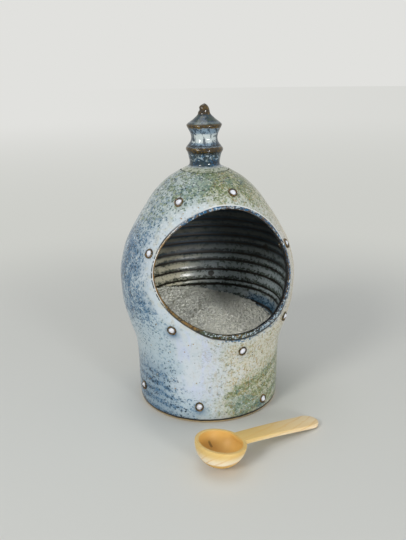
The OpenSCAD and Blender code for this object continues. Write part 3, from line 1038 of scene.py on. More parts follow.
def pale_wood():
    """Smooth yellow wood with faint curved grain and one knot streak."""
    paint, glaze, spoon = Paint("pale wood"), settings().glaze, settings().spoon
    soft, band, noise = paint.soft, paint.band, paint.noise
    x, y, z = paint.axes
    x, y = x - spoon.place[0], y - spoon.place[1]
    cos, sin = math.cos(spoon.turn), math.sin(spoon.turn)
    along, side = x * cos + y * sin, y * cos - x * sin
    bend = noise(30, 2, 0.5)
    # Grain lies in sheets that lean a little through the spoon.
    depth = side * 0.62 + z * 0.75 - along * 0.04 + (bend - 0.5) * 0.006
    sheets = (depth / MM * 2.1 + (noise(9, 2, 0.5) - 0.5) * 1.2).maths("SINE")
    coords = paint.node("ShaderNodeCombineXYZ", {}, {0: along * 0.1, 1: side, 2: z})
    fibre = noise(0.9, 3, 0.6, coords)
    patch = noise(9, 3, 0.6, coords)
    inside = 1 - soft((along * along + side * side) ** 0.5 / MM, 12.1, 12.6)
    under = (1 - soft(z / MM + along / MM * 0.1, 7.0, 13.5)) * (1 - inside)
    tone = Coats(paint, glaze.wood)
    # Paler towards the bottom of the bowl's outside.
    tone.lay(glaze.pale_underside, under * 0.9)
    tone.lay(glaze.heartwood, soft(sheets + (fibre - 0.5) * 1.0, 0.5, 1.3) * (under * 0.4 + 0.3))
    tone.lay(glaze.heartwood, soft(patch, 0.5, 0.7) * 0.3)
    tone.lay(glaze.heartwood, inside * 0.72)
    tone.lay(glaze.heartwood, soft(fibre, 0.6, 0.72) * 0.35)
    knot = band(along / MM + (side / MM - 9.6) * 0.25 + (patch - 0.5) * 2, -0.5, 0.4, 0.5)
    tone.lay(glaze.iron, knot * band(side / MM, 9.0, 10.4, 0.8) * inside * 0.55)
    return paint.finish(tone.tone, 0.42 + fibre * 0.14, paint.bump(fibre, 0.25, 0.1), WOOD_IOR)


# Pieces


# Space between rows of the wall in millimetres, cells round it, and marks along its outline
WALL_ROW, TURN_STEPS, OUTLINE_MARKS = 1.35, 216, 2000
# How far outside the mouth the outer and the inner face are cut, before its edge is laid on
OUTER_MARGIN, INNER_MARGIN = 3.0 * MM, 1.6 * MM


def arc(middle, reach, start, end, steps):
    """Points (radius, height) on an arc, from one angle above level to another, in degrees."""
    turns = np.radians(np.linspace(start, end, steps + 1))
    return [(middle[0] + reach[0] * math.cos(t), middle[1] + reach[1] * math.sin(t)) for t in turns]


def seat_height():
    return settings().jar.dome_h - settings().finial.seat_depth


def outside_points():
    """Points (radius, height) of the closed outer face, from the foot's middle to the seat's."""
    jar, finial, outline = settings().jar, settings().finial, jar_outline()
    bevel, foot_r = jar.foot_bevel, float(outline.radius(jar.foot_bevel))
    points = [(0, 0), (foot_r * 0.4, 0), (foot_r * 0.8, 0)]
    points += arc((foot_r - bevel, bevel), (bevel, bevel), -90, 0, 3)
    # Rows are spaced along the wall, so they stay even over the dome.
    heights = np.linspace(bevel, jar.dome_h, OUTLINE_MARKS)
    radii = outline.radius(heights)
    run = np.concatenate([[0], np.cumsum(np.hypot(np.diff(heights), np.diff(radii)))])
    rows = int(run[-1] / (WALL_ROW * MM))
    marks = np.interp(np.linspace(0, run[-1], rows + 1), run, heights)[1:]
    points += [(float(outline.radius(h)), float(h)) for h in marks]
    seat_r, seat_h = finial.seat_d / 2, seat_height()
    return points + [
        (seat_r + finial.seat_lip * 0.4, jar.dome_h + 0.1 * MM), (seat_r, jar.dome_h - 0.15 * MM),
        (seat_r - 0.05 * MM, seat_h), (seat_r * 0.6, seat_h), (0, seat_h),
    ]


def inside_points():
    """Points (radius, height, ridge) of the closed inner face, from the floor's middle up."""
    jar = settings().jar
    rows, ceiling = inside_profile()
    wall_r, corner_r = rows[0][0], jar.corner_r
    corner = arc((wall_r - corner_r, jar.floor_t + corner_r), (corner_r, corner_r), -90, 0, 6)
    floor = [(wall_r * part, jar.floor_t) for part in (0, 0.3, 0.6)]
    return (
        [(r, h, 0) for r, h in floor + corner[:-1]] + rows
        + [(rows[-1][0] * 0.6, ceiling, 0), (0, ceiling, 0)]
    )


def edge_loop(mesh):
    """The vertices of the open edge, in order."""
    edge = next(e for e in mesh.edges if e.is_boundary)
    first = edge.verts[0]
    loop, here = [first], edge.other_vert(first)
    while here is not first:
        loop.append(here)
        edge = next(e for e in here.link_edges if e.is_boundary and e is not edge)
        here = edge.other_vert(here)
    return loop


# Rounds that even out the cut's edge, and the rows beside it and rounds that ease them
EVEN_ROUNDS, EASED_ROWS, EASE_ROUNDS = 60, 5, 12


def cut_mouth(piece, mouth, margin, inner):
    """Opens the wall a margin outside the mouth and lays the cut's edge on a smooth curve."""
    mesh = edit(piece)
    u, v, w = mouth.plane(np.array([x.co for x in mesh.verts]))
    gone = (np.hypot(*mouth.shares(u, v, margin)) < 1) & (w > 0)
    pick(piece, "VERT", lambda vertex: gone[vertex.index])
    bpy.ops.mesh.delete(type="VERT")

    mesh = bmesh.from_edit_mesh(piece.data)
    turns = mesh.verts.layers.float.new("turn")
    loop = edge_loop(mesh)
    u, v, w = mouth.plane(np.array([x.co for x in loop]))
    along, over = mouth.shares(u, v, margin)
    turn = np.unwrap(np.arctan2(over, along))
    way = math.tau if turn[-1] > turn[0] else -math.tau
    for _ in range(EVEN_ROUNDS):
        before = np.concatenate([[turn[-1] - way], turn[:-1]])
        after = np.concatenate([turn[1:], [turn[0] + way]])
        turn = turn * 0.5 + (before + after) * 0.25
    for vertex, angle_now, place in zip(loop, turn, mouth.edge(turn, margin, inner)):
        vertex.co = place
        vertex[turns] = angle_now
    # Neighbouring rows are eased so that the cells change size slowly.
    row, seen, near = set(loop), set(loop), []
    for _ in range(EASED_ROWS):
        row = {e.other_vert(x) for x in row for e in x.link_edges} - seen
        seen |= row
        near.extend(row)
    for _ in range(EASE_ROUNDS):
        eased = [
            sum((e.other_vert(x).co for e in x.link_edges), Vector()) / len(x.link_edges)
            for x in near
        ]
        for vertex, place in zip(near, eased):
            vertex.co = place
    u, v, w = mouth.plane(np.array([x.co for x in near]))
    for vertex, place in zip(near, mouth.point(u, v, mouth.wall(u, v, inner))):
        vertex.co = place
    bmesh.update_edit_mesh(piece.data)
    pick(piece, "EDGE", lambda e: e.is_boundary)


# Degrees round the mouth, degrees of reach, and millimetres that the edge gains or loses there
EDGE_SWELLS = ((125, 24, 1.0), (185, 28, -0.9), (-5, 36, -1.2))
LIP_STEPS, FACE_STEPS, INNER_STEPS = 8, 4, 6


def curve(start, pull, end, t):
    """A place on the curve from start to end that leans towards pull."""
    return start * (1 - t) ** 2 + pull * 2 * t * (1 - t) + end * t * t


def lip_chain(mouth, turn):
    """Places of the mouth's rounded edge, ring by ring, for vertices at these turns."""
    sizes = settings().mouth
    way = np.degrees(turn + sizes.roll)
    # The edge is thickest on the upper left and thin at both sides.
    inset = sizes.edge_w + sum(
        np.exp(-((((way - middle + 180) % 360 - 180) / reach) ** 2)) * swell
        for middle, reach, swell in EDGE_SWELLS
    ) * MM

    def at(margin, inside=False):
        u, v = mouth.oval(turn, margin)
        return np.stack([u, v, mouth.wall(u, v, inside)], -1)

    outer_edge, inner_edge = at(-inset), at(-inset, True)
    depth = outer_edge[:, 2] - inner_edge[:, 2]
    outer_stop, inner_stop = outer_edge.copy(), inner_edge.copy()
    outer_stop[:, 2] -= np.minimum(sizes.outer_round, depth * 0.45)
    inner_stop[:, 2] += np.minimum(sizes.inner_round, depth * 0.35)
    start, end = at(0.4 * MM), at(sizes.inner_round - inset, True)
    rings = [(at(2.2 * MM), 0.02), (at(1.3 * MM), 0.04)]
    for t in np.linspace(0, 1, LIP_STEPS + 1):
        place = curve(start, outer_edge, outer_stop, t)
        place[:, 2] += sizes.rise * math.sin(math.pi * t)
        rings.append((place, 0.1 + 0.4 * t))
    for t in np.linspace(0, 1, FACE_STEPS + 1)[1:-1]:
        rings.append((outer_stop * (1 - t) + inner_stop * t, 0.5 + 0.2 * t))
    for t in np.linspace(0, 1, INNER_STEPS + 1):
        rings.append((curve(inner_stop, inner_edge, end, t), 0.7 + 0.25 * t))
    return [(mouth.point(*place.T), share_in) for place, share_in in rings]


# Degrees round the mouth, and the gap to its edge as a share of the usual one
MOUTH_STUDS = (
    (139.4, 1.08), (95.1, 0.87), (36.5, 0.46), (-23.6, 1.26),
    (-66.1, 1.23), (-118.4, 1.09), (180.7, 0.5),
)
# Degrees round the jar, and height as a share of the foot row's or of the belly's
FOOT_STUDS = ((-80, 1.2), (-24, 1.02), (31, 0.74), (91, 1), (150, 1.05), (211, 1.1))
BACK_STUDS = ((110, 1.06), (160, 0.76), (210, 1.06), (250, 0.76))
# How much blue glaze has pooled under a stud
POOLED = {
    "mouth_stud_5": 0.1, "mouth_stud_6": 1.0,
    "foot_stud_1": 0.2, "foot_stud_2": 0.9, "foot_stud_3": 0.5,
}
POOLED_BEHIND = 0.35


def stud_places():
    """Turn round the jar and height of each stud, by name."""
    stud, jar, mouth = settings().stud, settings().jar, Mouth()
    places = {}
    for k, (degrees, gap_share) in enumerate(MOUTH_STUDS, 1):
        turn = math.radians(degrees)
        out, way = stud.mouth_gap * gap_share, turn + settings().mouth.roll
        x, y, z = mouth.edge(np.array([turn]), cut=False)[0]
        round_jar = math.atan2(x, -y) + out * math.cos(way) / math.hypot(x, y)
        places[f"mouth_stud_{k}"] = (round_jar, z + out * math.sin(way))
    for name, row, height in (("foot", FOOT_STUDS, stud.foot_h), ("back", BACK_STUDS, jar.belly_h)):
        for k, (degrees, height_share) in enumerate(row, 1):
            places[f"{name}_stud_{k}"] = (math.radians(degrees), height * height_share)
    return places


def on_wall(turn, height):
    """The frame of a place on the jar's outer face, its Z axis along the wall's normal."""
    outline = jar_outline()
    r, slope = float(outline.radius(height)), float(outline.slope(height))
    spot = settle(np.array([[r * math.sin(turn), -r * math.cos(turn), height]]))[0]
    return (
        Matrix.Translation(Vector(spot)) @ Matrix.Rotation(turn, 4, "Z")
        @ Matrix.Rotation(math.pi / 2 + math.atan(slope), 4, "X")
    )


def pooled_glaze(places):
    """How much blue glaze has run together at each place under the studs."""
    outline, pool = jar_outline(), np.zeros(len(places))
    for name, (round_jar, height) in stud_places().items():
        strength = POOLED.get(name, POOLED_BEHIND if name.startswith("back") else 0.0)
        if strength:
            turn = np.arctan2(places[:, 0], -places[:, 1]) - round_jar
            across = ((turn + math.pi) % math.tau - math.pi) * float(outline.radius(height)) / MM
            down = (height - places[:, 2]) / MM
            width = 3.4 + np.clip(down, 0, 9) * 0.12
            spread = np.exp(-((across / width) ** 2)) * np.exp(-(((down - 2.6) / 3.2) ** 2))
            pool = np.maximum(pool, strength * spread)
    return pool


def shank_spots(places):
    """How near each place is to a back stud's shank end, where a dark spot shows inside."""
    jar, outline, pins = settings().jar, jar_outline(), np.zeros(len(places))
    for degrees, height_share in BACK_STUDS:
        turn, height = math.radians(degrees), jar.belly_h * height_share
        slope = float(outline.slope(height))
        depth = jar.wall_t / math.sqrt(1 + slope * slope)
        r = float(outline.radius(height)) - depth
        spot = (r * math.sin(turn), -r * math.cos(turn), height + depth * slope)
        away = np.linalg.norm(places - spot, axis=1)
        pins = np.maximum(pins, np.clip(1 - away / (4.6 * MM), 0, 1))
    return pins


class SALTPIG_OT_jar(bpy.types.Operator):
    """Model the thrown jar with its rings, floor, mouth and glaze"""

    bl_idname = "salt_pig.jar"
    bl_label = "Jar"

    def execute(self, context):
        mouth = Mouth()
        outer = spin(profile_piece("thrown_wall", outside_points()), TURN_STEPS)
        for name in ("lip", "ridge", "side"):
            write_attribute(outer, name, np.zeros(len(outer.data.vertices)))
        rows = inside_points()
        inner = spin(profile_piece("inner_face", rows), TURN_STEPS)
        heights = places_of(inner)[:, 2]
        # Only the thrown rows count, from the corner's top to the ceiling.
        levels, near = np.array(rows[-2 - len(inside_profile()[0]):]).T[1:]
        write_attribute(inner, "lip", np.ones(len(heights)))
        write_attribute(inner, "ridge", np.interp(heights, levels, np.abs(near)))
        write_attribute(inner, "side", np.interp(heights, levels, near))
        cut_mouth(inner, mouth, INNER_MARGIN, True)
        bpy.ops.object.mode_set(mode="OBJECT")

        # The mouth's edge is drawn inwards ring by ring.
        cut_mouth(outer, mouth, OUTER_MARGIN, False)
        for k in range(len(lip_chain(mouth, np.zeros(1)))):
            bpy.ops.mesh.extrude_region_move()
            mesh = bmesh.from_edit_mesh(outer.data)
            layers = mesh.verts.layers.float
            ring = [v for v in mesh.verts if v.select]
            places, share_in = lip_chain(mouth, np.array([v[layers["turn"]] for v in ring]))[k]
            for vertex, place in zip(ring, places):
                vertex.co = place
                vertex[layers["lip"]] = share_in
            bmesh.update_edit_mesh(outer.data)
        bpy.ops.object.mode_set(mode="OBJECT")

        jar = join([outer, inner], "thrown_wall")
        edit(jar)
        pick(jar, "EDGE", lambda e: e.is_boundary)
        bpy.ops.mesh.bridge_edge_loops()
        close_faces()

        places = places_of(jar)
        write_attribute(jar, "pool", pooled_glaze(places))
        write_attribute(jar, "pin", shank_spots(places))
        put(jar, settle(places))
        smooth(jar, 60)
        finish_piece(jar, "salt_jar", "glazed_stoneware", stoneware(), "jar")
        return {"FINISHED"}


# Height above the seat and width, in millimetres: waist, ring, neck, ring and the tip's root
FINIAL_STATIONS = ((5.1, 18.6), (13.1, 22.8), (20.2, 15.7), (27.6, 21.0), (35.5, 6.0))
# Shares of the rise and of the change in radius from each of these places to the next
FINIAL_SHARES = (
    [(0.2, 0.3), (0.37, 0.54), (0.53, 0.79), (0.7, 0.94)],
    [(0.46, 0.29), (0.76, 0.57), (0.88, 0.82)],
    [(0.12, 0.04), (0.25, 0.23), (0.42, 0.5), (0.74, 0.91)],
    [(0.28, 0.12), (0.58, 0.48), (0.86, 0.87)],
    [(0.1, 0.08), (0.27, 0.31), (0.42, 0.52), (0.58, 0.7), (0.74, 0.9), (0.87, 0.98)],
)
FINIAL_ROWS, FINIAL_TURN_STEPS, TIP_STEPS = 84, 96, 8


def finial_points():
    """Points (radius, height) up the finial's turned outline."""
    finial, seat_h = settings().finial, seat_height()
    skirt_h, skirt_r = 1.3 * MM, finial.seat_d / 2 - finial.seat_gap
    table = [(skirt_h, skirt_r)]
    for (height, width), shares in zip(FINIAL_STATIONS, FINIAL_SHARES):
        station = (height * MM, width / 2 * MM)
        table += between(table[-1], station, shares) + [station]
    tip_at, tip_r = table[-1]
    outline, edge = Outline(table), 0.5 * MM
    points = [(0, seat_h), (skirt_r * 0.6, seat_h), (skirt_r - edge, seat_h)]
    for t in (0.5, 1.0, 1.57):
        points.append((skirt_r - edge * (1 - math.sin(t)), seat_h + edge * (1 - math.cos(t))))
    for h in np.linspace(skirt_h, tip_at, FINIAL_ROWS):
        points.append((float(outline.radius(h)), seat_h + float(h)))
    return points + arc((0, seat_h + tip_at), (tip_r, finial.tip_h - tip_at), 0, 90, TIP_STEPS)[1:]


class SALTPIG_OT_finial(bpy.types.Operator):
    """Model the turned finial with its pinched tip"""

    bl_idname = "salt_pig.finial"
    bl_label = "Finial"

    def execute(self, context):
        finial = spin(profile_piece("turned_finial", finial_points()), FINIAL_TURN_STEPS)
        places = places_of(finial)
        h = places[:, 2] - seat_height()
        turn = np.arctan2(places[:, 0], -places[:, 1])
        # The rings are turned by hand, so they lie a little out of true.
        loose = np.clip(h / (8 * MM), 0, 1)
        places[:, 2] += loose * 0.35 * MM * np.cos(turn + 0.6 + h / (9 * MM))
        places[:, :2] *= (1 + loose * 0.02 * np.cos(2 * turn + h / (7 * MM)))[:, None]
        # The tip is twisted off, leans left and keeps a notch.
        tip = np.clip((h - 32.5 * MM) / (7 * MM), 0, 1)
        places[:, 0] -= 0.4 * MM * tip ** 2
        twist = 0.1 * tip * np.cos(2 * (turn + 0.5) + h / (3 * MM))
        places[:, 0] *= 1 + 0.2 * np.clip(tip * 3, 0, 1) + twist
        notch = np.exp(-(((h - 36.6 * MM) / (0.9 * MM)) ** 2)) * np.clip(np.cos(turn + 1.9), 0, 1)
        places[:, :2] *= (1 - 0.24 * notch)[:, None]
        put(finial, settle(places))
        smooth(finial, 60)
        finish_piece(finial, "salt_jar", "finial_glaze", finial_glaze(), "finial")
        return {"FINISHED"}


STUD_SEED = 17
RING_TURN_STEPS, BEAD_TURN_STEPS, RING_ARC_STEPS, BEAD_ARC_STEPS = 32, 28, 9, 7


def ring_points():
    """Points (radius, height) of a stud's shank and the raised ring round its middle."""
    stud, wall_t = settings().stud, settings().jar.wall_t
    r, half = stud.stud_d / 2, stud.ring_w / 2
    shank_r, depth, sunk = 1.6 * MM, wall_t - 0.5 * MM, 0.45 * MM
    points = [(0, -depth), (shank_r, -depth), (shank_r, -sunk), (r - 0.3 * MM, -sunk), (r, 0)]
    for k in range(1, RING_ARC_STEPS + 1):
        t = math.pi * k / RING_ARC_STEPS
        points.append((r - half + half * math.cos(t), stud.ring_h * math.sin(t) ** 0.8))
    return points + [(r - 2 * half, -0.1 * MM), (0, -0.1 * MM)]


def bead_points():
    """Points (radius, height) of the domed white bead."""
    bead_r, bead_h = settings().stud.bead_d / 2, settings().stud.bead_h
    under = [(0, -0.05 * MM), (bead_r * 0.9, -0.05 * MM)]
    return under + arc((0, 0), (bead_r, bead_h), 0, 90, BEAD_ARC_STEPS)


class SALTPIG_OT_studs(bpy.types.Operator):
    """Model one stud ring and one bead and set a copy of each in every place"""

    bl_idname = "salt_pig.studs"
    bl_label = "Studs"

    def execute(self, context):
        ring = spin(profile_piece("stud_ring", ring_points()), RING_TURN_STEPS)
        bead = spin(profile_piece("stud_bead", bead_points()), BEAD_TURN_STEPS)
        for source in (ring, bead):
            smooth(source, 50)
        # Model, ending of the piece's name and of the node's, slot and material
        parts = (
            (ring, "_ring", "", "stud_glaze", stud_glaze()),
            (bead, "_pearl", "_bead", "white_porcelain", bead_glaze()),
        )
        chance = np.random.RandomState(STUD_SEED)
        for name, (turn, height) in stud_places().items():
            spot = on_wall(turn, height)
            own_turn = Matrix.Rotation(chance.uniform(0, math.tau), 4, "Z")
            phase, squash = chance.uniform(0, math.tau), chance.uniform(0.9, 1.08)
            for source, ending, node_ending, slot, material in parts:
                piece = copy_of(source, name + ending)
                places = places_of(piece)
                round_ring = np.arctan2(places[:, 1], places[:, 0])
                above = np.clip(places[:, 2] / MM, 0, 1)
                # Each ring sags and thickens on its lower side.
                places[:, 1] *= 1 - 0.05 * above * np.sin(round_ring)
                sway = 1 + 0.05 * np.cos(3 * round_ring + phase) * above
                places[:, 0] *= sway * squash
                places[:, 1] *= sway / squash
                places[:, 2] *= np.where(places[:, 2] > 0, 1 - 0.22 * np.sin(round_ring), 1)
                put(piece, places)
                if source is bead:
                    piece.data.transform(own_turn)
                piece.data.transform(spot)
                finish_piece(piece, "salt_jar", slot, material, name + node_ending)
        for source in (ring, bead):
            bpy.data.objects.remove(source)
        return {"FINISHED"}


SALT_SEED = 3
SALT_ROWS, SALT_TURN_STEPS = 64, 232
# The salt keeps this gap to the wall and to the floor, and goes down the wall in these steps.
SALT_GAP, SALT_LIFT, SALT_STEP, SALT_STEPS = 0.35 * MM, 0.2 * MM, 7 * MM, 8
SALT_REACH, REACH_ROUNDS = 46 * MM, 8
# Slanted cuts that make a grain of a cube, and how far out they lie
GRAIN_CUTS, GRAIN_CUT_AT = ((1, 1, 1), (-1, 1, 0.6), (1, -0.7, -1)), 0.36


def salt_height(x, y):
    """Height of the heap at a place: a slope with low mounds."""
    salt, mouth = settings().salt, settings().mouth
    fall = x * math.sin(salt.falls_to) - y * math.cos(salt.falls_to)
    mounds = (
        np.sin(x / (13 * MM) + 0.4) * np.cos(y / (11 * MM) - 0.8) * 0.8
        + np.sin(x / (5.1 * MM) + y / (6.3 * MM)) * 0.35
        + np.cos(x / (3.4 * MM) - y / (3.9 * MM) + 1.3) * 0.22
    )
    return mouth.sill_h - salt.drop - fall * math.tan(salt.slope) + mounds * MM


def on_heap(turn, share_out):
    """Places across the heap, by the way round and the share of the reach to the wall."""
    wall, reach = inside_table(), np.full(len(turn), SALT_REACH)
    for _ in range(REACH_ROUNDS):
        level = salt_height(reach * np.sin(turn), -reach * np.cos(turn))
        reach = np.interp(level, *wall) - SALT_GAP
    return share_out * reach * np.sin(turn), -share_out * reach * np.cos(turn)


def random_turns(chance, count):
    """Turned axes for each grain, from four normal numbers."""
    q = chance.normal(size=(count, 4))
    a, b, c, d = (q / np.linalg.norm(q, axis=1)[:, None]).T
    return np.stack([
        np.stack([1 - 2 * (c * c + d * d), 2 * (b * c - d * a), 2 * (b * d + c * a)], -1),
        np.stack([2 * (b * c + d * a), 1 - 2 * (b * b + d * d), 2 * (c * d - b * a)], -1),
        np.stack([2 * (b * d - c * a), 2 * (c * d + b * a), 1 - 2 * (b * b + c * c)], -1),
    ], 1)


def salt_heap(chance):
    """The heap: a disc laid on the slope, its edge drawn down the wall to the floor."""
    jar = settings().jar
    spoke = [(k / SALT_ROWS, 0) for k in range(SALT_ROWS + 1)]
    heap = spin(profile_piece("salt_heap", spoke), SALT_TURN_STEPS)
    places = places_of(heap)
    share_out = np.hypot(places[:, 0], places[:, 1])
    x, y = on_heap(np.arctan2(places[:, 0], -places[:, 1]), share_out)
    rough = chance.normal(0, 0.16, len(x)) * MM * (share_out < 0.995)
    put(heap, np.stack([x, y, salt_height(x, y) + rough], -1))
    edit(heap)
    pick(heap, "EDGE", lambda e: e.is_boundary)
    bottom, wall = jar.floor_t + SALT_LIFT, inside_table()
    for k in range(1, SALT_STEPS + 1):
        bpy.ops.mesh.extrude_region_move()
        mesh = bmesh.from_edit_mesh(heap.data)
        ring = [vertex for vertex in mesh.verts if vertex.select]
        for vertex in ring:
            low = bottom if k == SALT_STEPS else max(vertex.co.z - SALT_STEP, bottom)
            corner = max(jar.floor_t + jar.corner_r - low, 0) / jar.corner_r
            r = float(np.interp(low, *wall)) - SALT_GAP
            r -= jar.corner_r * (1 - math.sqrt(max(1 - corner * corner, 0)))
            here = math.atan2(vertex.co.x, -vertex.co.y)
            vertex.co = (r * math.sin(here), -r * math.cos(here), low)
        bmesh.update_edit_mesh(heap.data)
    bpy.ops.mesh.edge_face_add()
    close_faces()
    put(heap, settle(places_of(heap)))
    smooth(heap, 50)
    return heap


def salt_grains(chance):
    """One grain is modelled and repeated over the heap, each turned and stretched its own way."""
    salt = settings().salt
    deselect()
    bpy.ops.mesh.primitive_cube_add(size=1)
    grain = bpy.context.active_object
    grain.name = "salt_grains"
    bpy.ops.object.mode_set(mode="EDIT")
    for way in GRAIN_CUTS:
        bpy.ops.mesh.select_all(action="SELECT")
        bpy.ops.mesh.bisect(
            plane_co=[GRAIN_CUT_AT * part for part in way], plane_no=way,
            clear_outer=True, use_fill=True,
        )
    bpy.ops.object.mode_set(mode="OBJECT")
    corners, count = places_of(grain), salt.grains
    faces = [list(face.vertices) for face in grain.data.polygons]
    turn = chance.uniform(0, math.tau, count)
    x, y = on_heap(turn, np.sqrt(chance.uniform(0, 1, count)) * 0.985)
    sizes = salt.grain * chance.uniform(0.4, 1.0, count)
    spots = settle(np.stack([x, y, salt_height(x, y) + sizes * 0.1], -1))
    turns = random_turns(chance, count)
    stretched = corners[None] * chance.uniform(0.7, 1.25, (count, 1, 3))
    cloud = np.einsum("nij,nkj->nki", turns, stretched) * sizes[:, None, None] + spots[:, None]
    grains = bpy.data.meshes.new("salt_grains")
    grains.from_pydata(
        cloud.reshape(-1, 3).tolist(), [],
        [[v + k * len(corners) for v in face] for k in range(count) for face in faces],
    )
    grain.data = grains
    return grain


class SALTPIG_OT_salt(bpy.types.Operator):
    """Model the sloping heap of salt and scatter loose grains over it"""

    bl_idname = "salt_pig.salt"
    bl_label = "Salt"

    def execute(self, context):
        chance, glaze = np.random.RandomState(SALT_SEED), settings().glaze
        for piece, material in (
            (salt_heap(chance), salt_crystal("packed salt", glaze.salt)),
            (salt_grains(chance), salt_crystal("salt grains", glaze.crystal)),
        ):
            finish_piece(piece, "salt_jar", "coarse_salt", material, "salt_fill")
        return {"FINISHED"}


BOWL_OUTER_STEPS, BOWL_INNER_STEPS, BOWL_TURN_STEPS, HANDLE_STEPS = 24, 21, 88, 8
# Angles in radians at which the handle's round end is drawn
HANDLE_END_TURNS = (0.22, 0.44, 0.66, 0.88, 1.08, 1.25, 1.4, 1.5)


def bowl_points():
    """Points (radius, height) of the bowl, from its lowest place over the brim to its inside."""
    spoon, edge = settings().spoon, 0.45 * MM
    outer, inner = spoon.bowl_d / 2, spoon.bowl_d / 2 - spoon.wall
    low_out, low_in = (math.degrees(math.asin(edge / r)) for r in (outer, inner))
    return (
        arc((0, 0), (outer, outer), -90, -low_out, BOWL_OUTER_STEPS)
        + [(outer - edge * 0.3, -edge * 0.3), (outer - edge, 0)]
        + [(inner + edge, 0), (inner + edge * 0.3, -edge * 0.3)]
        + arc((0, 0), (inner, inner), -low_in, -90, BOWL_INNER_STEPS)[1:]
    )


def handle_plate(root):
    """The handle: a plate drawn out from the middle of the bowl's wall, with a round end."""
    spoon = settings().spoon
    deselect()
    bpy.ops.mesh.primitive_cube_add(size=1, location=(0, 0, 0))
    handle = bpy.context.active_object
    bpy.ops.object.mode_set(mode="EDIT")
    bpy.ops.mesh.select_all(action="SELECT")
    bpy.ops.transform.resize(value=(2 * MM, spoon.neck_w, spoon.handle_t))
    bpy.ops.transform.translate(value=(root - 1.2 * MM, 0, -spoon.handle_t / 2))
    pick(handle, "FACE", lambda face: face.normal.x > 0.9)
    end_r = spoon.end_w / 2
    start_x, end_x = root - 0.2 * MM, spoon.handle_l - end_r
    steps = [
        (start_x + (end_x - start_x) * t, spoon.neck_w + (spoon.end_w - spoon.neck_w) * t)
        for t in np.linspace(0, 1, HANDLE_STEPS + 1)[1:]
    ]
    steps += [(end_x + end_r * math.sin(t), spoon.end_w * math.cos(t)) for t in HANDLE_END_TURNS]
    here, width = start_x, spoon.neck_w
    for x, w in steps:
        bpy.ops.mesh.extrude_region_move(TRANSFORM_OT_translate={"value": (x - here, 0, 0)})
        bpy.ops.transform.resize(value=(1, w / width, 1), center_override=(x, 0, 0))
        here, width = x, w
    # The long edges, above and below, are rounded.
    pick(
        handle, "EDGE",
        lambda e: abs(e.verts[0].co.z - e.verts[1].co.z) < 0.1 * MM and e.calc_face_angle(0) > 0.6,
    )
    bpy.ops.mesh.bevel(offset=0.55 * MM, segments=3, affect="EDGES")
    bpy.ops.object.mode_set(mode="OBJECT")
    return handle


class SALTPIG_OT_spoon(bpy.types.Operator):
    """Model the wooden spoon with its round bowl and flat handle"""

    bl_idname = "salt_pig.spoon"
    bl_label = "Spoon"

    def execute(self, context):
        spoon = settings().spoon
        outer = spoon.bowl_d / 2
        bowl = spin(profile_piece("wooden_spoon", bowl_points()), BOWL_TURN_STEPS)
        handle = handle_plate(outer - spoon.wall / 2)
        activate(bowl)
        union = bowl.modifiers.new("handle", "BOOLEAN")
        union.operation, union.solver, union.object = "UNION", "EXACT", handle
        bpy.ops.object.modifier_apply(modifier=union.name)
        bpy.data.objects.remove(handle)
        # The handle keeps a slight bow from the knife.
        places = places_of(bowl)
        along = np.clip((places[:, 0] - outer) / (spoon.handle_l - outer), 0, 1)
        places[:, 1] += 0.35 * MM * np.sin(along * 5.0)
        put(bowl, places)
        # It rests on its bowl and on the end of its handle.
        hypot = math.hypot(spoon.handle_l, spoon.handle_t)
        lean = math.asin(outer / hypot) - math.atan(spoon.handle_t / spoon.handle_l)
        bowl.data.transform(
            Matrix.Translation((*spoon.place, outer)) @ Matrix.Rotation(spoon.turn, 4, "Z")
            @ Matrix.Rotation(lean, 4, "Y")
        )
        smooth(bowl, 40)
        finish_piece(bowl, "salt_spoon", "pale_wood", pale_wood(), "spoon")
        return {"FINISHED"}


# Stage


CAMERA_PLACE = (-0.1111, -0.3634, 0.210)
# Degrees to the right of the jar's axis, downwards and of roll, and the lens in millimetres
CAMERA_HEADING, CAMERA_DOWN, CAMERA_ROLL, CAMERA_LENS = 16.63, 18.24, 0.91, 41.33
FLOOR_R = 6
ROOM_TINT = (0.95, 0.97, 1.0, 1.0)
LAMPS_AIM = Vector((0, 0, 0.08))


def lamp(name, place, size, watts, tint):
    """A round soft lamp that looks at the jar's lower half."""
    light = bpy.data.lights.new(name, "AREA")
    light.shape, light.size, light.energy, light.color = "DISK", size, watts, tint
    piece = bpy.data.objects.new(name, light)
    bpy.context.scene.collection.objects.link(piece)
    piece.location = place
    piece.rotation_mode = "QUATERNION"
    piece.rotation_quaternion = (LAMPS_AIM - Vector(place)).to_track_quat("-Z", "Y")
    return piece


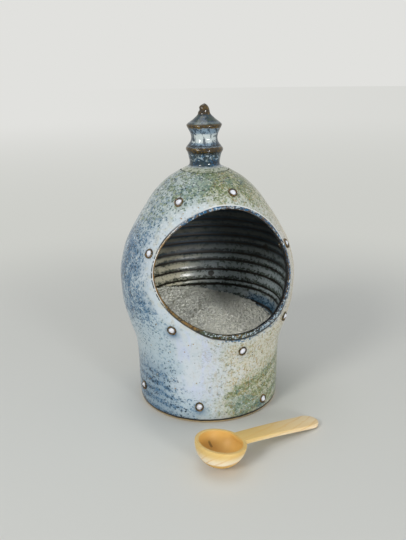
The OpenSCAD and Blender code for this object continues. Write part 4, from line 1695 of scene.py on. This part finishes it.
class SALTPIG_OT_stage(bpy.types.Operator):
    """Lay the floor and set the lamps, the world and the camera"""

    bl_idname = "salt_pig.stage"
    bl_label = "Stage"

    def execute(self, context):
        light, scene = settings().light, context.scene
        scene.view_settings.view_transform = "Standard"

        deselect()
        bpy.ops.mesh.primitive_circle_add(vertices=64, radius=FLOOR_R, fill_type="NGON")
        floor = context.active_object
        floor.name = "floor"
        paint = Paint("pale floor")
        paint.finish((*light.floor, 1.0), 0.6, None, FLOOR_IOR)
        # Away from the object the floor fades into the backdrop, less so on the right, where it
        # stays darker: painted shade of the light from the left.
        away = paint.away()
        # Painted shade: the floor's right side keeps the darker tone.
        duller = paint.soft(paint.axes[0] / away, 0.0, 0.7) * 0.45
        fade = paint.soft(away, 0.25, 2.4) * (1 - duller)
        tint = paint.mix(light.dusk, light.backdrop, fade)
        shown = paint.node("ShaderNodeEmission", {}, {"Color": tint, "Strength": 1.0})
        far = paint.soft(away, 0.16, 0.46) * paint.backdrop_rays()
        lit = Wire(paint, paint.shader.outputs[0])
        mixed = paint.node("ShaderNodeMixShader", {}, {0: far, 1: lit, 2: shown})
        paint.feed(paint.tree.nodes["Material Output"], "Surface", mixed)
        floor.data.materials.append(paint.material)

        scene.world = bpy.data.worlds.new("soft room")
        scene.world.use_nodes = True
        sky = Nodes(scene.world.node_tree)
        backdrop = sky.tree.nodes["Background"]
        sky.feed(backdrop, "Color", (*light.backdrop, 1.0))
        room = sky.node("ShaderNodeBackground", {}, {"Color": ROOM_TINT, "Strength": light.world})
        shown = Wire(sky, backdrop.outputs[0])
        mixed = sky.node("ShaderNodeMixShader", {}, {0: sky.backdrop_rays(), 1: room, 2: shown})
        sky.feed(sky.tree.nodes["World Output"], "Surface", mixed)

        lamps = [
            lamp("left_lamp", (-0.92, -0.62, 0.72), 0.38, light.key, (1.0, 0.985, 0.96)),
            lamp("right_lamp", (0.31, -1.05, 0.21), 0.26, light.fill, (0.97, 0.98, 1.0)),
            lamp("upper_lamp", (-0.1, 0.25, 1.2), 0.7, light.top, (1.0, 1.0, 1.0)),
        ]

        camera = bpy.data.objects.new("camera", bpy.data.cameras.new("camera"))
        scene.collection.objects.link(camera)
        camera.data.lens = CAMERA_LENS
        camera.matrix_world = (
            Matrix.Translation(CAMERA_PLACE)
            @ Matrix.Rotation(math.radians(-CAMERA_HEADING), 4, "Z")
            @ Matrix.Rotation(math.radians(90 - CAMERA_DOWN), 4, "X")
            @ Matrix.Rotation(math.radians(-CAMERA_ROLL), 4, "Z")
        )
        scene.camera = camera
        return {"FINISHED"}


# Panel and run


GROUPS = (
    JarSizes, MouthSizes, FinialSizes, StudSizes, SaltSizes, SpoonSizes,
    GlazeColours, LightSettings, SaltPigSettings,
)
OPERATORS = (
    SALTPIG_OT_stage, SALTPIG_OT_jar, SALTPIG_OT_finial, SALTPIG_OT_studs, SALTPIG_OT_salt,
    SALTPIG_OT_spoon,
)


class SALTPIG_PT_panel(bpy.types.Panel):
    """Buttons for the pieces and the sizes and colours they are made from"""

    bl_idname = "SALTPIG_PT_panel"
    bl_label = "Salt Pig"
    bl_space_type = "VIEW_3D"
    bl_region_type = "UI"
    bl_category = "Salt Pig"

    def draw(self, context):
        for operator in OPERATORS:
            self.layout.operator(operator.bl_idname)
        pig = context.scene.salt_pig
        for part in ("jar", "mouth", "finial", "stud", "salt", "spoon", "glaze", "light"):
            box = self.layout.box()
            box.label(text=pig.bl_rna.properties[part].name)
            sizes = getattr(pig, part)
            for name in sizes.bl_rna.properties.keys():
                if name not in ("rna_type", "name"):
                    box.prop(sizes, name)


def register():
    for kind in GROUPS + OPERATORS + (SALTPIG_PT_panel,):
        bpy.utils.register_class(kind)
    bpy.types.Scene.salt_pig = bpy.props.PointerProperty(type=SaltPigSettings)


def unregister():
    del bpy.types.Scene.salt_pig
    for kind in reversed(GROUPS + OPERATORS + (SALTPIG_PT_panel,)):
        bpy.utils.unregister_class(kind)


def main():
    register()
    bpy.ops.salt_pig.stage()
    bpy.ops.salt_pig.jar()
    bpy.ops.salt_pig.finial()
    bpy.ops.salt_pig.studs()
    bpy.ops.salt_pig.salt()
    bpy.ops.salt_pig.spoon()
    deselect()


if __name__ == "__main__":
    main()
